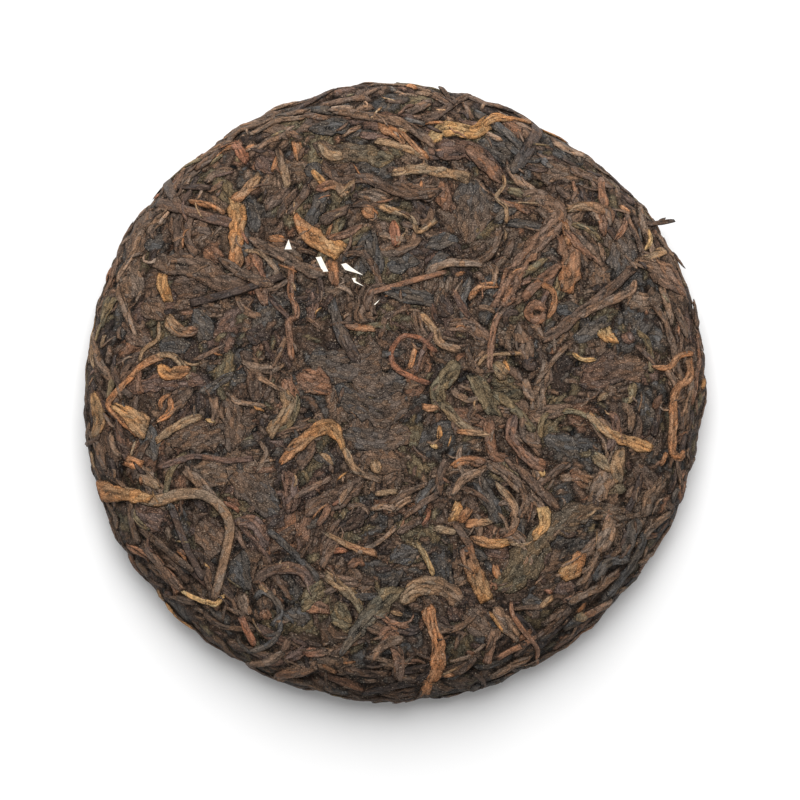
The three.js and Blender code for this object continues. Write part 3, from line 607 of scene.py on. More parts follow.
shownLeaves = [
    # upper left
    shown("broad", 5.5, "bark", (-60, 33), (-50, 31.5), (-42, 28), (-36.5, 27), toneEnd="umber"),
    shown("broad", 5, "bark", (-40.5, 65), (-33, 67.5), (-26, 63.7)),
    shown("broad", 4.8, "ash", (-20.8, 65.4), (-15.5, 67), (-11, 67.5)),
    shown("stem", 3, "ash", (-56.8, 54.4), (-55.6, 50.5), (-53.6, 46.5), toneEnd="umber"),
    shown("stem", 2.2, "umber", (-50.8, 44.8), (-51.7, 39), (-49.3, 34.3)),
    shown("rolled", 1.9, "rust", (-51.5, 48.1), (-46, 47), (-42.2, 45)),
    shown("bud", 4.3, "amber", (-39.5, 48.4), (-39.2, 40), (-39.9, 31), toneEnd="rust", tip=0.92,
          grow=(1.05, 0.8)),
    shown("stem", 3, "umber", (-59.2, 47.9), (-50, 45.1), (-40.3, 42.4), toneEnd="plum", tip=0.9),
    shown("bud", 3.4, "fawn", (-57, 19), (-53.5, 15.7), (-49, 15.6), toneEnd="russet", grow=(1.2, 0.7)),
    shown("rolled", 3, "bark", (-36.5, 39), (-29, 35), (-22, 31), (-17, 29.5)),
    shown("bud", 4.4, "russet", (-36.3, 35), (-34.5, 30), (-34.4, 25), toneEnd="brick", tip=0.8),
    shown("rolled", 1.6, "fawn", (-37.5, 35.7), (-33.6, 35.3), (-29.5, 31), (-30.5, 29.3),
          toneEnd="hide"),
    shown("bud", 3.3, "amber", (-57.8, 30), (-57.7, 26.5), (-56.4, 22.8), tip=0.85),
    shown("rolled", 2.7, "fawn", (-33.4, 54.8), (-36.5, 51), (-40.3, 48), toneEnd="rust", tip=0.8),
    shown("bud", 5.8, "rust", (-25, 45), (-20.8, 39.6), (-13, 35), toneEnd="amber", tip=0.8,
          grow=(0.35, 1.4)),
    shown("rolled", 2, "rust", (-44.8, 58.8), (-42.5, 61.2), (-39.8, 61.4)),
    shown("bud", 2.6, "brick", (-40, 63), (-36.5, 57.8)),
    shown("bud", 2.6, "rust", (-24.5, 63), (-23.4, 58.4), tip=0.85),
    shown("rolled", 1.4, "rust", (-28.5, 60.2), (-30.6, 55.4)),
    shown("rolled", 2.3, "bark", (-29.3, 61.2), (-27.5, 56), (-26.3, 51.5), toneEnd="fawn", tip=0.8),
    shown("bud", 2.6, "fawn", (-19, 62.6), (-16, 59.6), (-12.6, 59.4)),
    shown("bud", 1.9, "amber", (-20.5, 55.8), (-17.2, 52)),
    shown("bud", 2.8, "brick", (-19.6, 51.2), (-15, 52), (-12, 49.3), toneEnd="fawn"),
    shown("bud", 3.6, "rust", (-8, 46.5), (-4.2, 44.4)),
    shown("bud", 2.1, "rust", (-31.5, 39), (-27.2, 38.3)),
    shown("rolled", 2.2, "russet", (-16.8, 38.7), (-12, 40), (-7.7, 42)),
    shown("rolled", 1.7, "bark", (-41.5, 63.3), (-36, 66.2), (-28, 69), (-21, 71)),
    shown("rolled", 1.6, "hide", (-36, 64.2), (-29.5, 67.5), (-22, 69)),
    shown("rolled", 2.4, "umber", (-49.5, 55.5), (-44, 60), (-39.5, 64.3)),
    shown("rolled", 2.2, "bark", (-47, 52.3), (-43.5, 55.5), (-40, 56)),
    shown("rolled", 2, "fawn", (-75.3, 19.5), (-75, 12), (-74.2, 6)),
    shown("bud", 3, "rust", (-15.6, 33.5), (-15.2, 30), (-14.6, 26.8), toneEnd="russet"),
    shown("rolled", 1.8, "russet", (-25.5, 32.2), (-25.7, 25.5), (-24, 19.7), (-26.2, 17.7),
          (-25.5, 8.2)),
    shown("bud", 3.4, "umber", (-36, 31), (-33.5, 26.5), (-32, 22), toneEnd="russet"),
    shown("stem", 2.2, "soot", (-51, 22.5), (-38, 26), (-27.5, 29.5)),
    shown("rolled", 2.6, "bark", (-44, 34), (-38, 30), (-30, 27)),
    # top
    shown("broad", 5.4, "plum", (10.3, 61.5), (18, 61), (23, 58.5), (27.5, 54), grow=(1.2, 0.5)),
    shown("rolled", 3.4, "plum", (35.7, 66.5), (33, 60), (29, 55.3), toneEnd="ash"),
    shown("bud", 4, "straw", (10, 62.6), (11.2, 65.4), (15.5, 66), (20, 65), (23.8, 67.8),
          toneEnd="amber", tip=0.8),
    shown("bud", 2.6, "amber", (22.3, 66.6), (25, 68.8), (29.6, 69), (34.4, 67.2), toneEnd="rust",
          tip=0.7),
    shown("bud", 3, "amber", (36.8, 66.4), (43.2, 62.4), toneEnd="rust", tip=0.7),
    shown("broad", 4, "umber", (-1, 52), (5, 50.5), (11, 49.5)),
    shown("bud", 2.8, "fawn", (-0.5, 55.3), (7, 56.2), (19, 53.6), toneEnd="fawn", tip=0.9),
    shown("bud", 4, "russet", (18.4, 62), (22, 58.5), (27, 53.3)),
    shown("rolled", 2.2, "fawn", (-4.5, 63.5), (1, 62), (7.5, 59.6)),
    shown("bud", 3, "rust", (-4, 66.6), (0, 65.4), (3.2, 63)),
    shown("rolled", 1.5, "rust", (1.5, 65.5), (4.5, 62.5), (8.8, 58.6)),
    shown("rolled", 1.8, "fawn", (-4.2, 47), (4.2, 44), (6, 40.5), (10.7, 43.5)),
    shown("bud", 3.1, "brick", (0, 43.4), (0.6, 36.6)),
    shown("rolled", 1.8, "rust", (18.5, 23.7), (21.5, 26.7), (26.2, 27)),
    shown("rolled", 2.6, "umber", (-18, 57.7), (-13.7, 53.7), (-6.5, 53.7), (0, 50.7), (6.5, 49.5),
          (10.7, 50.2)),
    shown("rolled", 1.2, "fawn", (27.2, 55), (27.5, 52), (25.5, 49), (28, 46.5), (28, 42.5)),
    shown("rolled", 2.5, "bark", (-15, 70.5), (2.2, 67.5), (10.2, 61.5)),
    shown("stem", 2.8, "ash", (-20.7, 71), (-15.6, 70.8)),
    shown("rolled", 1.7, "fawn", (-14, 49.5), (-9.5, 53.5)),
    shown("stem", 1.6, "russet", (-6.7, 25), (6.5, 28.7), (13.2, 30.5)),
    shown("broad", 5.2, "ash", (-2, 26), (4, 24.6), (10, 23.6)),
    # upper right
    shown("broad", 4.8, "russet", (26.2, 21.5), (29.7, 29.7), (36.2, 38), (41.2, 44.7), (36.2, 49.4),
          (32, 49), toneEnd="bark"),
    shown("bud", 5.2, "russet", (42.3, 40), (44, 33), (43, 25.2), toneEnd="rust", tip=0.7),
    shown("rolled", 2.6, "russet", (42, 32.5), (37, 28.5), (32, 23.4)),
    shown("rolled", 1.7, "rust", (42.4, 43.3), (44, 36.8)),
    shown("rolled", 1.6, "rust", (36.7, 27.5), (39.7, 25.5), (40, 22), (38.2, 18.5)),
    shown("rolled", 2.8, "fawn", (43, 45.7), (47, 46.7), (53, 45.7), (53.6, 42.8), toneEnd="russet"),
    shown("bud", 1.6, "straw", (63.2, 41), (63.8, 38), (62.5, 35.7)),
    shown("rolled", 2.8, "fawn", (62.5, 33.5), (67.7, 35.7)),
    shown("broad", 6.4, "hide", (60, 33.2), (66, 31.6), (72, 26.5), toneEnd="russet", grow=(0.5, 1.3)),
    shown("rolled", 2.8, "umber", (37, 13.5), (41.5, 16), (50, 23), (59.5, 31)),
    shown("rolled", 2.2, "bark", (46, 19.2), (54, 23.3), (59, 25.7), (60.3, 28.6)),
    shown("rolled", 2, "russet", (42.5, 41), (46, 37), (50, 33.5)),
    shown("bud", 4, "olive", (24.6, 7.3), (28.2, 4.4), toneEnd="fawn"),
    shown("rolled", 3, "bark", (70, 21.5), (73.3, 14)),
    # left
    shown("shred", 1.1, "fawn", (-58.7, 18), (-59, 13.7), (-62.7, 10.7), (-63.5, 7.7)),
    shown("rolled", 2.1, "rust", (-57.7, 9.5), (-62, 7.7), (-66.2, 3.7), (-70.8, -1.4), (-70.3, -4.4),
          (-66.2, -7.7), (-64.2, -10.7)),
    shown("bud", 4.6, "amber", (-70, -2.6), (-66, -5.5), (-61.5, -9), toneEnd="fawn", tip=0.8,
          grow=(0.5, 1.3)),
    shown("rolled", 1.9, "fawn", (-59.5, 9.3), (-56, 9.6), (-52.6, 6.8), (-51, 3.8)),
    shown("bud", 3.4, "amber", (-58.6, 7.4), (-56, 4.9), (-51, 5.6), toneEnd="rust"),
    shown("bud", 3.4, "rust", (-67.2, -16.6), (-62.6, -17.6), tip=0.8),
    shown("rolled", 3.4, "hide", (-63.7, -19.3), (-58.8, -23.8), toneEnd="fawn"),
    shown("rolled", 1.6, "plum", (-58.8, -18.5), (-50, -15.8), (-42, -16.6), (-35, -16.2)),
    shown("rolled", 1.4, "hide", (-33.6, -11.7), (-32, -15), (-34.5, -19.7)),
    shown("rolled", 3, "hide", (-52.7, -18.8), (-47, -24), (-42.4, -30)),
    shown("stem", 2, "soot", (-55.5, -28.6), (-51.5, -39), (-47.4, -46.5)),
    shown("broad", 4, "plum", (-40.5, -32), (-35, -32.5), (-31.3, -38)),
    shown("rolled", 2, "ash", (-31.5, -33.7), (-25, -40), (-18.5, -47)),
    shown("rolled", 2.4, "russet", (-66, -38), (-60, -41), (-55, -46.5), (-54, -50)),
    shown("rolled", 1.8, "rust", (-56, -1), (-56, -4.7), (-59.5, -7.2)),
    shown("bud", 3.8, "amber", (-74.8, 0.5), (-73.6, -6), (-74.4, -11), toneEnd="fawn"),
    shown("rolled", 2.2, "fawn", (-59.5, -12), (-54.2, -8.2), (-47.7, -5.5)),
    shown("shred", 1.5, "straw", (-47.2, -6.3), (-44.5, -7.2)),
    shown("bud", 3.4, "fawn", (-27.3, 1), (-26.5, -3.5), (-31.3, -10.4), tip=0.8),
    shown("bud", 3.4, "rust", (-28.4, -17.5), (-23, -12), (-17, -8), (-13.8, -10.5), (-12.6, -14.5),
          toneEnd="amber"),
    shown("rolled", 1.9, "fawn", (-12.6, -13.5), (-9.6, -18.9), (-3, -22), toneEnd="bark"),
    shown("bud", 1.7, "fawn", (-18.6, -15), (-16.8, -16), (-15.2, -18)),
    shown("bud", 2.9, "fawn", (-5, -16.5), (-3.6, -20)),
    shown("broad", 6, "russet", (-24, 5), (-20, 3.4), (-15.5, 2)),
    shown("stem", 3.6, "fawn", (-73.4, -24.9), (-66.2, -25), (-59.5, -26.7), (-53.2, -25), (-47, -25.5),
          (-42.2, -29.7), (-41, -34), (-42.2, -40.5), (-44.9, -51.4), toneEnd="hide", tip=0.7,
          grow=(1, 0.66)),
    shown("bud", 4.8, "rust", (-74.2, -24.2), (-69, -25), (-60.5, -26.4), toneEnd="amber", tip=0.85,
          grow=(1.15, 0.6)),
    shown("rolled", 1.3, "straw", (-53.5, -49), (-45.7, -52.2), (-44, -52.2), (-42.2, -50)),
    shown("stem", 2, "brick", (-38.2, -55.5), (-34.7, -63.2)),
    shown("rolled", 2.1, "amber", (-56.7, -51.7), (-53.2, -56), (-50, -59)),
    shown("rolled", 2.6, "fawn", (-59, -48.5), (-57, -51.5)),
    shown("rolled", 2.2, "umber", (-62.5, -37), (-58, -43.5), (-52.5, -49)),
    # middle
    shown("rolled", 3.2, "ash", (-15.8, 23), (-13, 15), (-9, 7.7), toneEnd="soot"),
    shown("bud", 2, "russet", (-12.6, 17.4), (-9, 16.4), (-4.6, 16), toneEnd="rust"),
    shown("rolled", 1.5, "brick", (10.7, 10.2), (6.5, 13.7), (2.2, 14.2), (-0.5, 10.7), (0.5, 6.5),
          (5.5, 3.7), (9, 2.5)),
    shown("rolled", 2.2, "fawn", (6.5, 20.2), (10.2, 16), (11.7, 12.5), (16.7, 10.7), toneEnd="hide"),
    shown("shred", 1.1, "fawn", (20.7, 6.7), (23.7, 9.5), (33.5, 10.2)),
    shown("broad", 3.9, "olive", (19.5, 4.7), (22.7, -0.5), (25, -5.5)),
    shown("bud", 2.1, "rust", (7, -3.3), (11.4, -3.6)),
    shown("broad", 2.6, "olive", (11.5, -2), (15, -6), (19.5, -9.7), toneEnd="fawn"),
    shown("bud", 2, "rust", (15.5, -9.4), (24.4, -10.2), toneEnd="fawn"),
    shown("rolled", 2.6, "rust", (14.5, -18.3), (17.5, -16.6), (23, -17.2), toneEnd="russet"),
    shown("rolled", 2.4, "hide", (23, -17.4), (28, -20.3), (32, -25)),
    shown("bud", 1.6, "straw", (9, -12.6), (11, -13.6)),
    shown("shred", 1.2, "brick", (-15.5, -28), (-13, -26.5)),
    shown("rolled", 1.7, "fawn", (-4.7, -25), (1, -24.5)),
    shown("rolled", 2.2, "fawn", (25.3, -22), (30, -28), (29.8, -33.5), (26.5, -36), toneEnd="russet"),
    shown("bud", 2.8, "amber", (16, -26.8), (14.7, -32), tip=0.8),
    shown("bud", 2.2, "rust", (19, -28.4), (16.6, -32.3)),
    shown("bud", 2.4, "rust", (17.8, -32.6), (24.6, -31.8), toneEnd="fawn"),
    shown("bud", 1.9, "fawn", (9.8, -33.6), (16.5, -34.4)),
    shown("bud", 2.7, "rust", (19, -35.8), (24, -37.5), (29, -37), toneEnd="amber"),
    shown("rolled", 1.5, "fawn", (28.5, -37), (32.5, -37.8), (35.4, -35.5)),
    shown("rolled", 1.6, "olive", (5.5, -37), (8, -41), (9.8, -45.5), toneEnd="straw"),
    shown("bud", 2, "rust", (25.2, -42.6), (26.1, -46.6)),
    # right
    shown("patch", 6.6, "olive", (26.5, -49.5), (32, -43), (38.5, -34.5), (49, -29.5), (60.5, -31),
          toneEnd="bark", grow=(1.4, 0.6)),
    shown("bud", 4, "straw", (52.3, 16.4), (54.3, 12.6), toneEnd="amber", tip=0.8),
    shown("bud", 3.2, "plum", (57.5, 15.2), (59.5, 12.6)),
    shown("rolled", 1.3, "straw", (44.5, 10.2), (47, 8.5), (50.5, 8.7)),
    shown("rolled", 1.5, "rust", (64.2, 6.7), (68.5, 6.5), (71, 9.5), (74.6, 10)),
    shown("rolled", 2.3, "rust", (73.4, 9), (73.8, 4.7), (70.2, 0.5), (69.7, -6.5), (69.2, -14.2),
          (71, -16), (72.2, -13.8)),
    shown("bud", 2.9, "fawn", (48.2, -4.7), (52.2, -9), (56.5, -11.2), (64.4, -13.9), toneEnd="amber",
          tip=0.7, grow=(0.75, 1.1)),
    shown("bud", 3.2, "olive", (49.5, -15.2), (54.5, -19.5), toneEnd="fawn"),
    shown("bud", 3.4, "fawn", (56.6, -13.6), (55.6, -18), (56.3, -22.5)),
    shown("rolled", 1.3, "bark", (70.2, -16.3), (71.3, -23)),
    shown("bud", 1.8, "straw", (36.2, -18.5), (37.5, -20.9)),
    # bottom
    shown("rolled", 1.9, "fawn", (-17.3, -34.7), (-11, -38), (-4.2, -39.9), toneEnd="rust",
          grow=(0.6, 1.3)),
    shown("rolled", 3, "umber", (-35, -47.5), (-30, -44), (-23, -44.3), (-19.8, -49.2), toneEnd="plum"),
    shown("rolled", 2.2, "umber", (-41.5, -61.5), (-36, -64), (-29, -65.5), (-25.8, -61)),
    shown("rolled", 3, "plum", (-34, -66.3), (-27, -66), (-21, -63)),
    shown("rolled", 2.8, "bark", (-30, -71), (-24, -68.5), (-19, -67.5)),
    shown("rolled", 3, "russet", (-3.8, -61.3), (-1, -59.5), (1.2, -62.3)),
    shown("rolled", 3, "russet", (-22, -53), (-16, -54)),
    shown("stem", 2.2, "umber", (15, -32.2), (19.5, -38.7)),
    shown("bud", 4.6, "russet", (17.6, -38), (20, -45), (23, -52), toneEnd="amber", tip=0.85,
          grow=(0.8, 1.15)),
    shown("rolled", 2.8, "fawn", (-17.3, -45.2), (-11, -50), (-7.8, -55), toneEnd="olive"),
    shown("bud", 2, "olive", (-15.5, -56.5), (-10.7, -58.5)),
    shown("broad", 4.8, "ash", (-13.7, -65.5), (-6.5, -56), (1.2, -48.2), toneEnd="olive",
          grow=(0.6, 1.3)),
    shown("rolled", 1.8, "ash", (-34.6, -51.5), (-33, -49.4), (-29.9, -51), (-28.4, -54.6),
          (-30.4, -58.2)),
    shown("rolled", 1.6, "ash", (-36.6, -64.3), (-31.5, -62.8), (-28.9, -59.7), (-27.9, -56.1)),
    shown("bud", 3.2, "hide", (-38.6, -50), (-36.6, -55.3), toneEnd="bark", tip=0.85),
    shown("bud", 2.8, "russet", (-32.8, -53.9), (-31.8, -56.4), tip=0.9),
    shown("broad", 4.4, "olive", (-23.2, -52.4), (-17.2, -48.2)),
    shown("bud", 2.2, "brick", (-22.8, -64.3), (-16.6, -64.5), toneEnd="bark"),
    shown("rolled", 2.2, "bark", (-36.6, -67.4), (-31.5, -66.4), (-27.4, -64.3), toneEnd="hide"),
    shown("rolled", 2.8, "russet", (-29.5, -69.9), (-24, -69.4), (-19.7, -68.4), toneEnd="bark"),
    shown("rolled", 2.4, "bark", (-6, -66.2), (-2, -62.6), (2.6, -61), toneEnd="hide"),
    shown("bud", 3, "russet", (0.2, -63), (1.4, -67.5), (0.6, -71), toneEnd="umber", tip=0.85),
    shown("bud", 3.5, "rust", (8.2, -53.2), (9.8, -58.5), (10.8, -63), (10.9, -67.5), (9.2, -72),
          tip=0.85),
    shown("shred", 1.2, "hide", (13.5, -67), (18.5, -65.5), (23, -62.3)),
    shown("rolled", 1.5, "rust", (12, -70.2), (15, -69.7)),
    shown("broad", 3.4, "hide", (24.8, -53), (28, -57), (31.3, -60.8)),
    shown("shred", 1.1, "amber", (23.8, -54.4), (27.4, -59.6)),
    shown("bud", 2.9, "rust", (8.7, -71.5), (7.6, -75.2), tip=0.9),
    # lower right
    shown("rolled", 3, "plum", (30, -5), (29.3, -11), (33, -16), (38, -18.7), toneEnd="russet"),
    shown("rolled", 2, "bark", (32.3, -5.5), (32.3, -10.7), (37, -13.8)),
    shown("rolled", 2, "bark", (24, -17.2), (30, -21), (33, -26.5), (31, -31)),
    shown("rolled", 2.6, "hide", (14.3, -25.5), (18, -21), (22, -19.3)),
    shown("rolled", 2.6, "umber", (27.5, -16), (34, -21.5), (41, -29.3)),
    shown("rolled", 4, "ash", (60.3, -31), (57.3, -40.5)),
    shown("bud", 4, "straw", (37.2, -28.2), (37.6, -32.5), (34.6, -36), toneEnd="amber", tip=0.7,
          grow=(1.2, 0.6)),
    shown("bud", 4.6, "rust", (47, -39.6), (46, -42.5), (41.8, -46), toneEnd="amber", tip=0.7),
    shown("broad", 4.6, "hide", (54.7, -31), (53.4, -35), (50.7, -39.5)),
    shown("rolled", 2.8, "hide", (60.8, -42.4), (65.4, -38.2), (69, -32), toneEnd="bark"),
    shown("rolled", 2.4, "hide", (43.1, -52), (48.2, -49.8), (52.3, -47.7), (56.4, -44),
          toneEnd="bark"),
    shown("rolled", 2.6, "ash", (49.5, -46.4), (53.5, -42), (58.5, -41)),
    shown("rolled", 2, "hide", (54.5, -50.2), (57.5, -48.2), (61, -44.6), toneEnd="olive"),
    shown("rolled", 2.2, "russet", (46.5, -55.4), (50, -54), (54.5, -51), toneEnd="hide"),
    shown("rolled", 2.4, "hide", (23.5, -70.4), (29, -68), (34.5, -65.1), toneEnd="bark"),
    shown("rolled", 2.8, "hide", (41.5, -63.4), (46, -60.4), (50, -57), toneEnd="russet"),
    shown("bud", 3, "bark", (25.8, -58.4), (24, -63), (22.9, -67.2), toneEnd="russet", tip=0.85),
    shown("bud", 2.4, "olive", (44.5, -55.6), (48, -55.4), toneEnd="fawn"),
    shown("bud", 1.5, "brick", (37.5, -49.2), (39.7, -49.5)),
    shown("rolled", 1.5, "fawn", (36.2, -53.5), (39.7, -50.7)),
    shown("stem", 1.6, "russet", (25.5, -66), (32, -62.5), (35.7, -60.2)),
    shown("rolled", 1.3, "russet", (29.2, -51.7), (29.7, -55.5), (33.2, -60.2), (35.7, -63.7),
          (35, -67.2)),
]

# Tips that stand out of the edge: degrees round it, how far down it and how far their ends stand out

edgeTips = [
    dict(width=1.5, turn=(79, 81.5), down=(10, 15), out=1.3),
    dict(width=1.3, turn=(33.0, 31.2), down=(10, 17), out=4.6),
    dict(width=1.0, turn=(31.9, 32.4), down=(12, 17), out=3.0),
    dict(width=2.0, turn=(25.5, 22.8), down=(14, 16), out=1.2),
    dict(width=2.6, turn=(11, 16.5), down=(14, 16), out=0.8),
]

# Corners of a blank sheet of paper that show between the leaves, by their corners in plan

paperCorners = dict(
    thick=0.12,
    over=0.1,  # mm above the leaves that are laid before it
    lifted=0.03,
    white=(255, 249, 238),
    shade=(236, 226, 208),
    pulpScale=1800.0,  # per metre
    rough=(0.8, 0.92),
    sheen=0.3,
    pieces=[
        [(-27.3, 36.0), (-25.5, 36.0), (-26.3, 38.5)],
        [(-19.5, 34.0), (-18.2, 34.2), (-16.4, 30.5), (-17.8, 30.4)],
        [(-13.2, 32.3), (-12.0, 32.6), (-10.2, 31.2), (-7.7, 29.6), (-10.4, 30.4), (-12.2, 30.9)],
        [(-10.5, 28.8), (-9.6, 28.9), (-9.6, 28.1), (-7.5, 26.8), (-10.0, 27.8)],
        [(-5.0, 22.3), (-3.6, 23.5), (-4.0, 22.9), (-4.7, 22.2)],
    ],
)


goldenTones = ("rust", "amber", "straw", "fawn", "brick")
pieceOfKind = dict(stem="stems", patch="pressedPatches", broad="broadLeaves", shred="shreds")


def layShown(chart, leaves, random):
    for leaf in leaves:
        kind, tone = leaf["kind"], leaf["tone"]
        piece = pieceOfKind.get(kind, "goldenTips" if tone in goldenTones else "rolledLeaves")
        layLeaf(chart, piece, fromPhoto(curveThrough(leaf["path"])), leaf["width"], kind, tone, random,
                toneEnd=leaf["toneEnd"], tip=leaf["tip"], grow=leaf["grow"], vary=0.05)
    print("laid", len(leaves), "shown leaves")


def layEdgeTips(chart, random):
    for tip in edgeTips:
        turn = np.radians(np.linspace(*tip["turn"], 8))
        arc = cake["faceRadius"] + np.linspace(*tip["down"], 8)
        path = np.stack([arc * np.cos(turn), arc * np.sin(turn)], axis=-1)
        layLeaf(chart, "rimLeaves", path, tip["width"], "bud", "umber", random, rise=tip["out"])
    print("laid", len(edgeTips), "edge tips")


def calmPlaces():
    # where a pressed patch shows, few leaves lie over it
    return [(*point, patch["width"] / 2) for patch in pressedPatches
            for point in fromPhoto(curveThrough(patch["path"]))]


# Pressing: the cake's face is one smooth sheet over the tops, and only the gaps stay deep

press = dict(
    sheetReach=1.9,
    faceLevel=0.78,  # of the sheet over the form, on the face and underneath
    underLevel=0.42,
    rimFrom=60,  # where the flat sides end, and how soon the edge is free
    rimReach=12,
    proud=0.14,  # how far the highest leaves stand out, on the flat sides and at the edge
    rimProud=0.9,
    deepest=1.3,
    rimDeepest=2.3,
    squeeze=0.78,  # what a depth in the loose stack comes to under the press
    rimSqueeze=1.0,
    keptRelief=0.85,
    flatReach=0.12,  # a leaf within this of the sheet is ironed
    buried=0.14,  # a leaf under this much of others is hidden there
    leastShown=0.04,  # a leaf that shows less of itself is left out
    wornReach=0.6,  # painted light and shade: a place is painted paler when it is higher than what lies this near, darker when lower
    ridge=0.16,  # height of a ridge that is painted quite pale, in the stack and in a fold
    foldRidge=0.18,
    lit=0.85,  # painted shade: how far down a leaf is still painted as lit, and as quite dark
    dark=3.0,
    shadeFrom=42,  # painted shade: inside this the gaps are painted with only faceShade of the dark, past shadeTo with all of it
    shadeTo=68,
    faceShade=0.45,
)


def ironedLift(above, u, v):
    # the bag irons the flat sides, and the edge less
    atRim = np.clip((np.hypot(u, v) - press["rimFrom"]) / press["rimReach"], 0, 1)
    proud = press["proud"] + (press["rimProud"] - press["proud"]) * atRim
    deepest = press["deepest"] + (press["rimDeepest"] - press["deepest"]) * atRim
    squeeze = press["squeeze"] + (press["rimSqueeze"] - press["squeeze"]) * atRim
    down = deepest * np.tanh(squeeze * above / deepest)
    return np.where(above > 0, proud * np.tanh(above / proud), down)


def deepShare(down, u, v):
    # painted shade: the gaps in the middle of the face are painted with less shade than those at the edge
    share = np.clip((down - press["lit"]) / (press["dark"] - press["lit"]), 0, 1)
    away = np.hypot(u, v)
    return share * np.interp(away, (press["shadeFrom"], press["shadeTo"]), (press["faceShade"], 1))


def ironedShare(above):
    return np.clip((above + press["flatReach"]) / (2 * press["flatReach"]), 0, 1)


def pressFlat(chart, level):
    sheet = chart.envelope(press["sheetReach"])
    chart.sheet = sheet
    gridV, gridU = np.mgrid[0:chart.side, 0:chart.side] * chart.cell - chart.reach
    chart.lift = level + ironedLift(chart.matStack - sheet, gridU, gridV)
    # painted shade in the gaps of the mat
    chart.deep = deepShare(sheet - chart.matStack, gridU, gridV)
    chart.flat = ironedShare(chart.matStack - sheet)
    around = chart.blurred(chart.stack, press["wornReach"])
    chart.worn = np.clip((chart.stack - around) / press["ridge"], -1, 1)
    kept = []
    for leaf in chart.leaves:
        top = leaf["top"]
        u, v, h = leaf["u"], leaf["v"], leaf["h"]
        over = chart.sample(chart.stack, u[:, :top], v[:, :top]) - h[:, :top]
        if np.mean(over < press["buried"]) < press["leastShown"]:
            continue
        above = h - leaf["relief"] - chart.sample(sheet, u, v)
        lift = level + ironedLift(above, u, v) + press["keptRelief"] * leaf["relief"]
        lift = lift + leaf["rise"][:, None]
        leaf["places"] = chart.world(u, v, lift) * mm
        leaf["ironed"] = ironedShare(above)
        # depth is the share of painted shade in the gaps
        leaf["depth"] = deepShare(-above, u, v)
        # painted light and shade: ridges are painted paler, and grooves, edges and the underside darker
        ridges = 0.5 * chart.sample(chart.worn, u, v) + leaf["relief"] / press["foldRidge"]
        leaf["worn"] = np.clip(ridges, -1, 1) * (1 - leaf["edge"]) - leaf["edge"]
        kept.append(leaf)
    print("pressed", len(kept), "of", len(chart.leaves), "leaves")
    return kept


# Meshes: each leaf is a closed strip, and its cell on the map keeps its length and width

def packCells(sizes, gap):
    order = sorted(range(len(sizes)), key=lambda i: -sizes[i][1])
    area = sum((a + gap) * (b + gap) for a, b in sizes)
    wide = max(math.sqrt(area) * 1.03, max(a for a, b in sizes) + gap)
    corners = [None] * len(sizes)
    x = y = shelf = 0.0
    for i in order:
        a, b = sizes[i]
        if x + a + gap > wide:
            x, y, shelf = 0.0, y + shelf, 0.0
        corners[i] = (x + gap / 2, y + gap / 2)
        x += a + gap
        shelf = max(shelf, b + gap)
    return corners, max(wide, y + shelf)


def leafFaces(rows, ring):
    i = np.arange(rows - 1)[:, None]
    j = np.arange(ring)[None, :]
    after = (j + 1) % ring
    quads = np.stack([i * ring + j, i * ring + after, (i + 1) * ring + after, (i + 1) * ring + j], axis=-1)
    fan = np.arange(1, ring - 1)
    last = (rows - 1) * ring
    start = np.stack([0 * fan, fan + 1, fan], axis=-1)
    end = np.stack([0 * fan + last, last + fan, last + fan + 1], axis=-1)
    return quads.reshape(-1, 4), np.vstack([start, end])


def leafMap(leaf, ring):
    top, rows = leaf["top"], len(leaf["along"])
    width = 2 * float(np.max(leaf["half"]))
    crossing = np.concatenate([np.linspace(0, 1, top), [1.06, 1.12, 1.18]]) * width  # narrow underneath
    along = leaf["along"]
    i = np.arange(rows - 1)[:, None]
    j = np.arange(ring)[None, :]
    corner = [(i, j), (i, j + 1), (i + 1, j + 1), (i + 1, j)]
    quads = [np.stack(np.broadcast_arrays(along[a], crossing[b]), axis=-1) for a, b in corner]
    quads = np.stack(quads, axis=-2)
    bulge = 0.45 * np.sin(math.pi * np.arange(ring + 1) / ring)
    ends = []
    fan = np.arange(1, ring - 1)
    firstEnd = (along[0], -1, (fan * 0, fan + 1, fan))
    lastEnd = (along[-1], 1, (fan * 0, fan, fan + 1))
    for at, sign, order in (firstEnd, lastEnd):
        points = [np.stack([at + sign * bulge[k], crossing[k]], axis=-1) for k in order]
        ends.append(np.stack(points, axis=-2))
    return quads.reshape(-1, 4, 2), np.vstack(ends), (along[-1] + 1.0, crossing[-1])


def meshFrom(name, places, quads, triangles, quadMap, triangleMap, values):
    mesh = bpy.data.meshes.new(name)
    mesh.vertices.add(len(places))
    mesh.vertices.foreach_set("co", np.ascontiguousarray(places, dtype=np.float32).ravel())
    corners = np.concatenate([quads.ravel(), triangles.ravel()]).astype(np.int32)
    mesh.loops.add(len(corners))
    mesh.loops.foreach_set("vertex_index", corners)
    starts = np.concatenate([np.arange(len(quads)) * 4, 4 * len(quads) + np.arange(len(triangles)) * 3])
    mesh.polygons.add(len(starts))
    mesh.polygons.foreach_set("loop_start", starts.astype(np.int32))
    mesh.update(calc_edges=True)
    mesh.polygons.foreach_set("use_smooth", np.ones(len(starts), dtype=bool))
    layer = mesh.uv_layers.new(name="OFBake")
    layer.data.foreach_set("uv", np.concatenate([quadMap.ravel(), triangleMap.ravel()]).astype(np.float32))
    for label, (kind, field, data) in values.items():
        made = mesh.attributes.new(label, kind, "POINT")
        made.data.foreach_set(field, np.ascontiguousarray(data, dtype=np.float32).ravel())
    mesh.validate()
    piece = bpy.data.objects.new(name, mesh)
    bpy.context.scene.collection.objects.link(piece)
    return piece


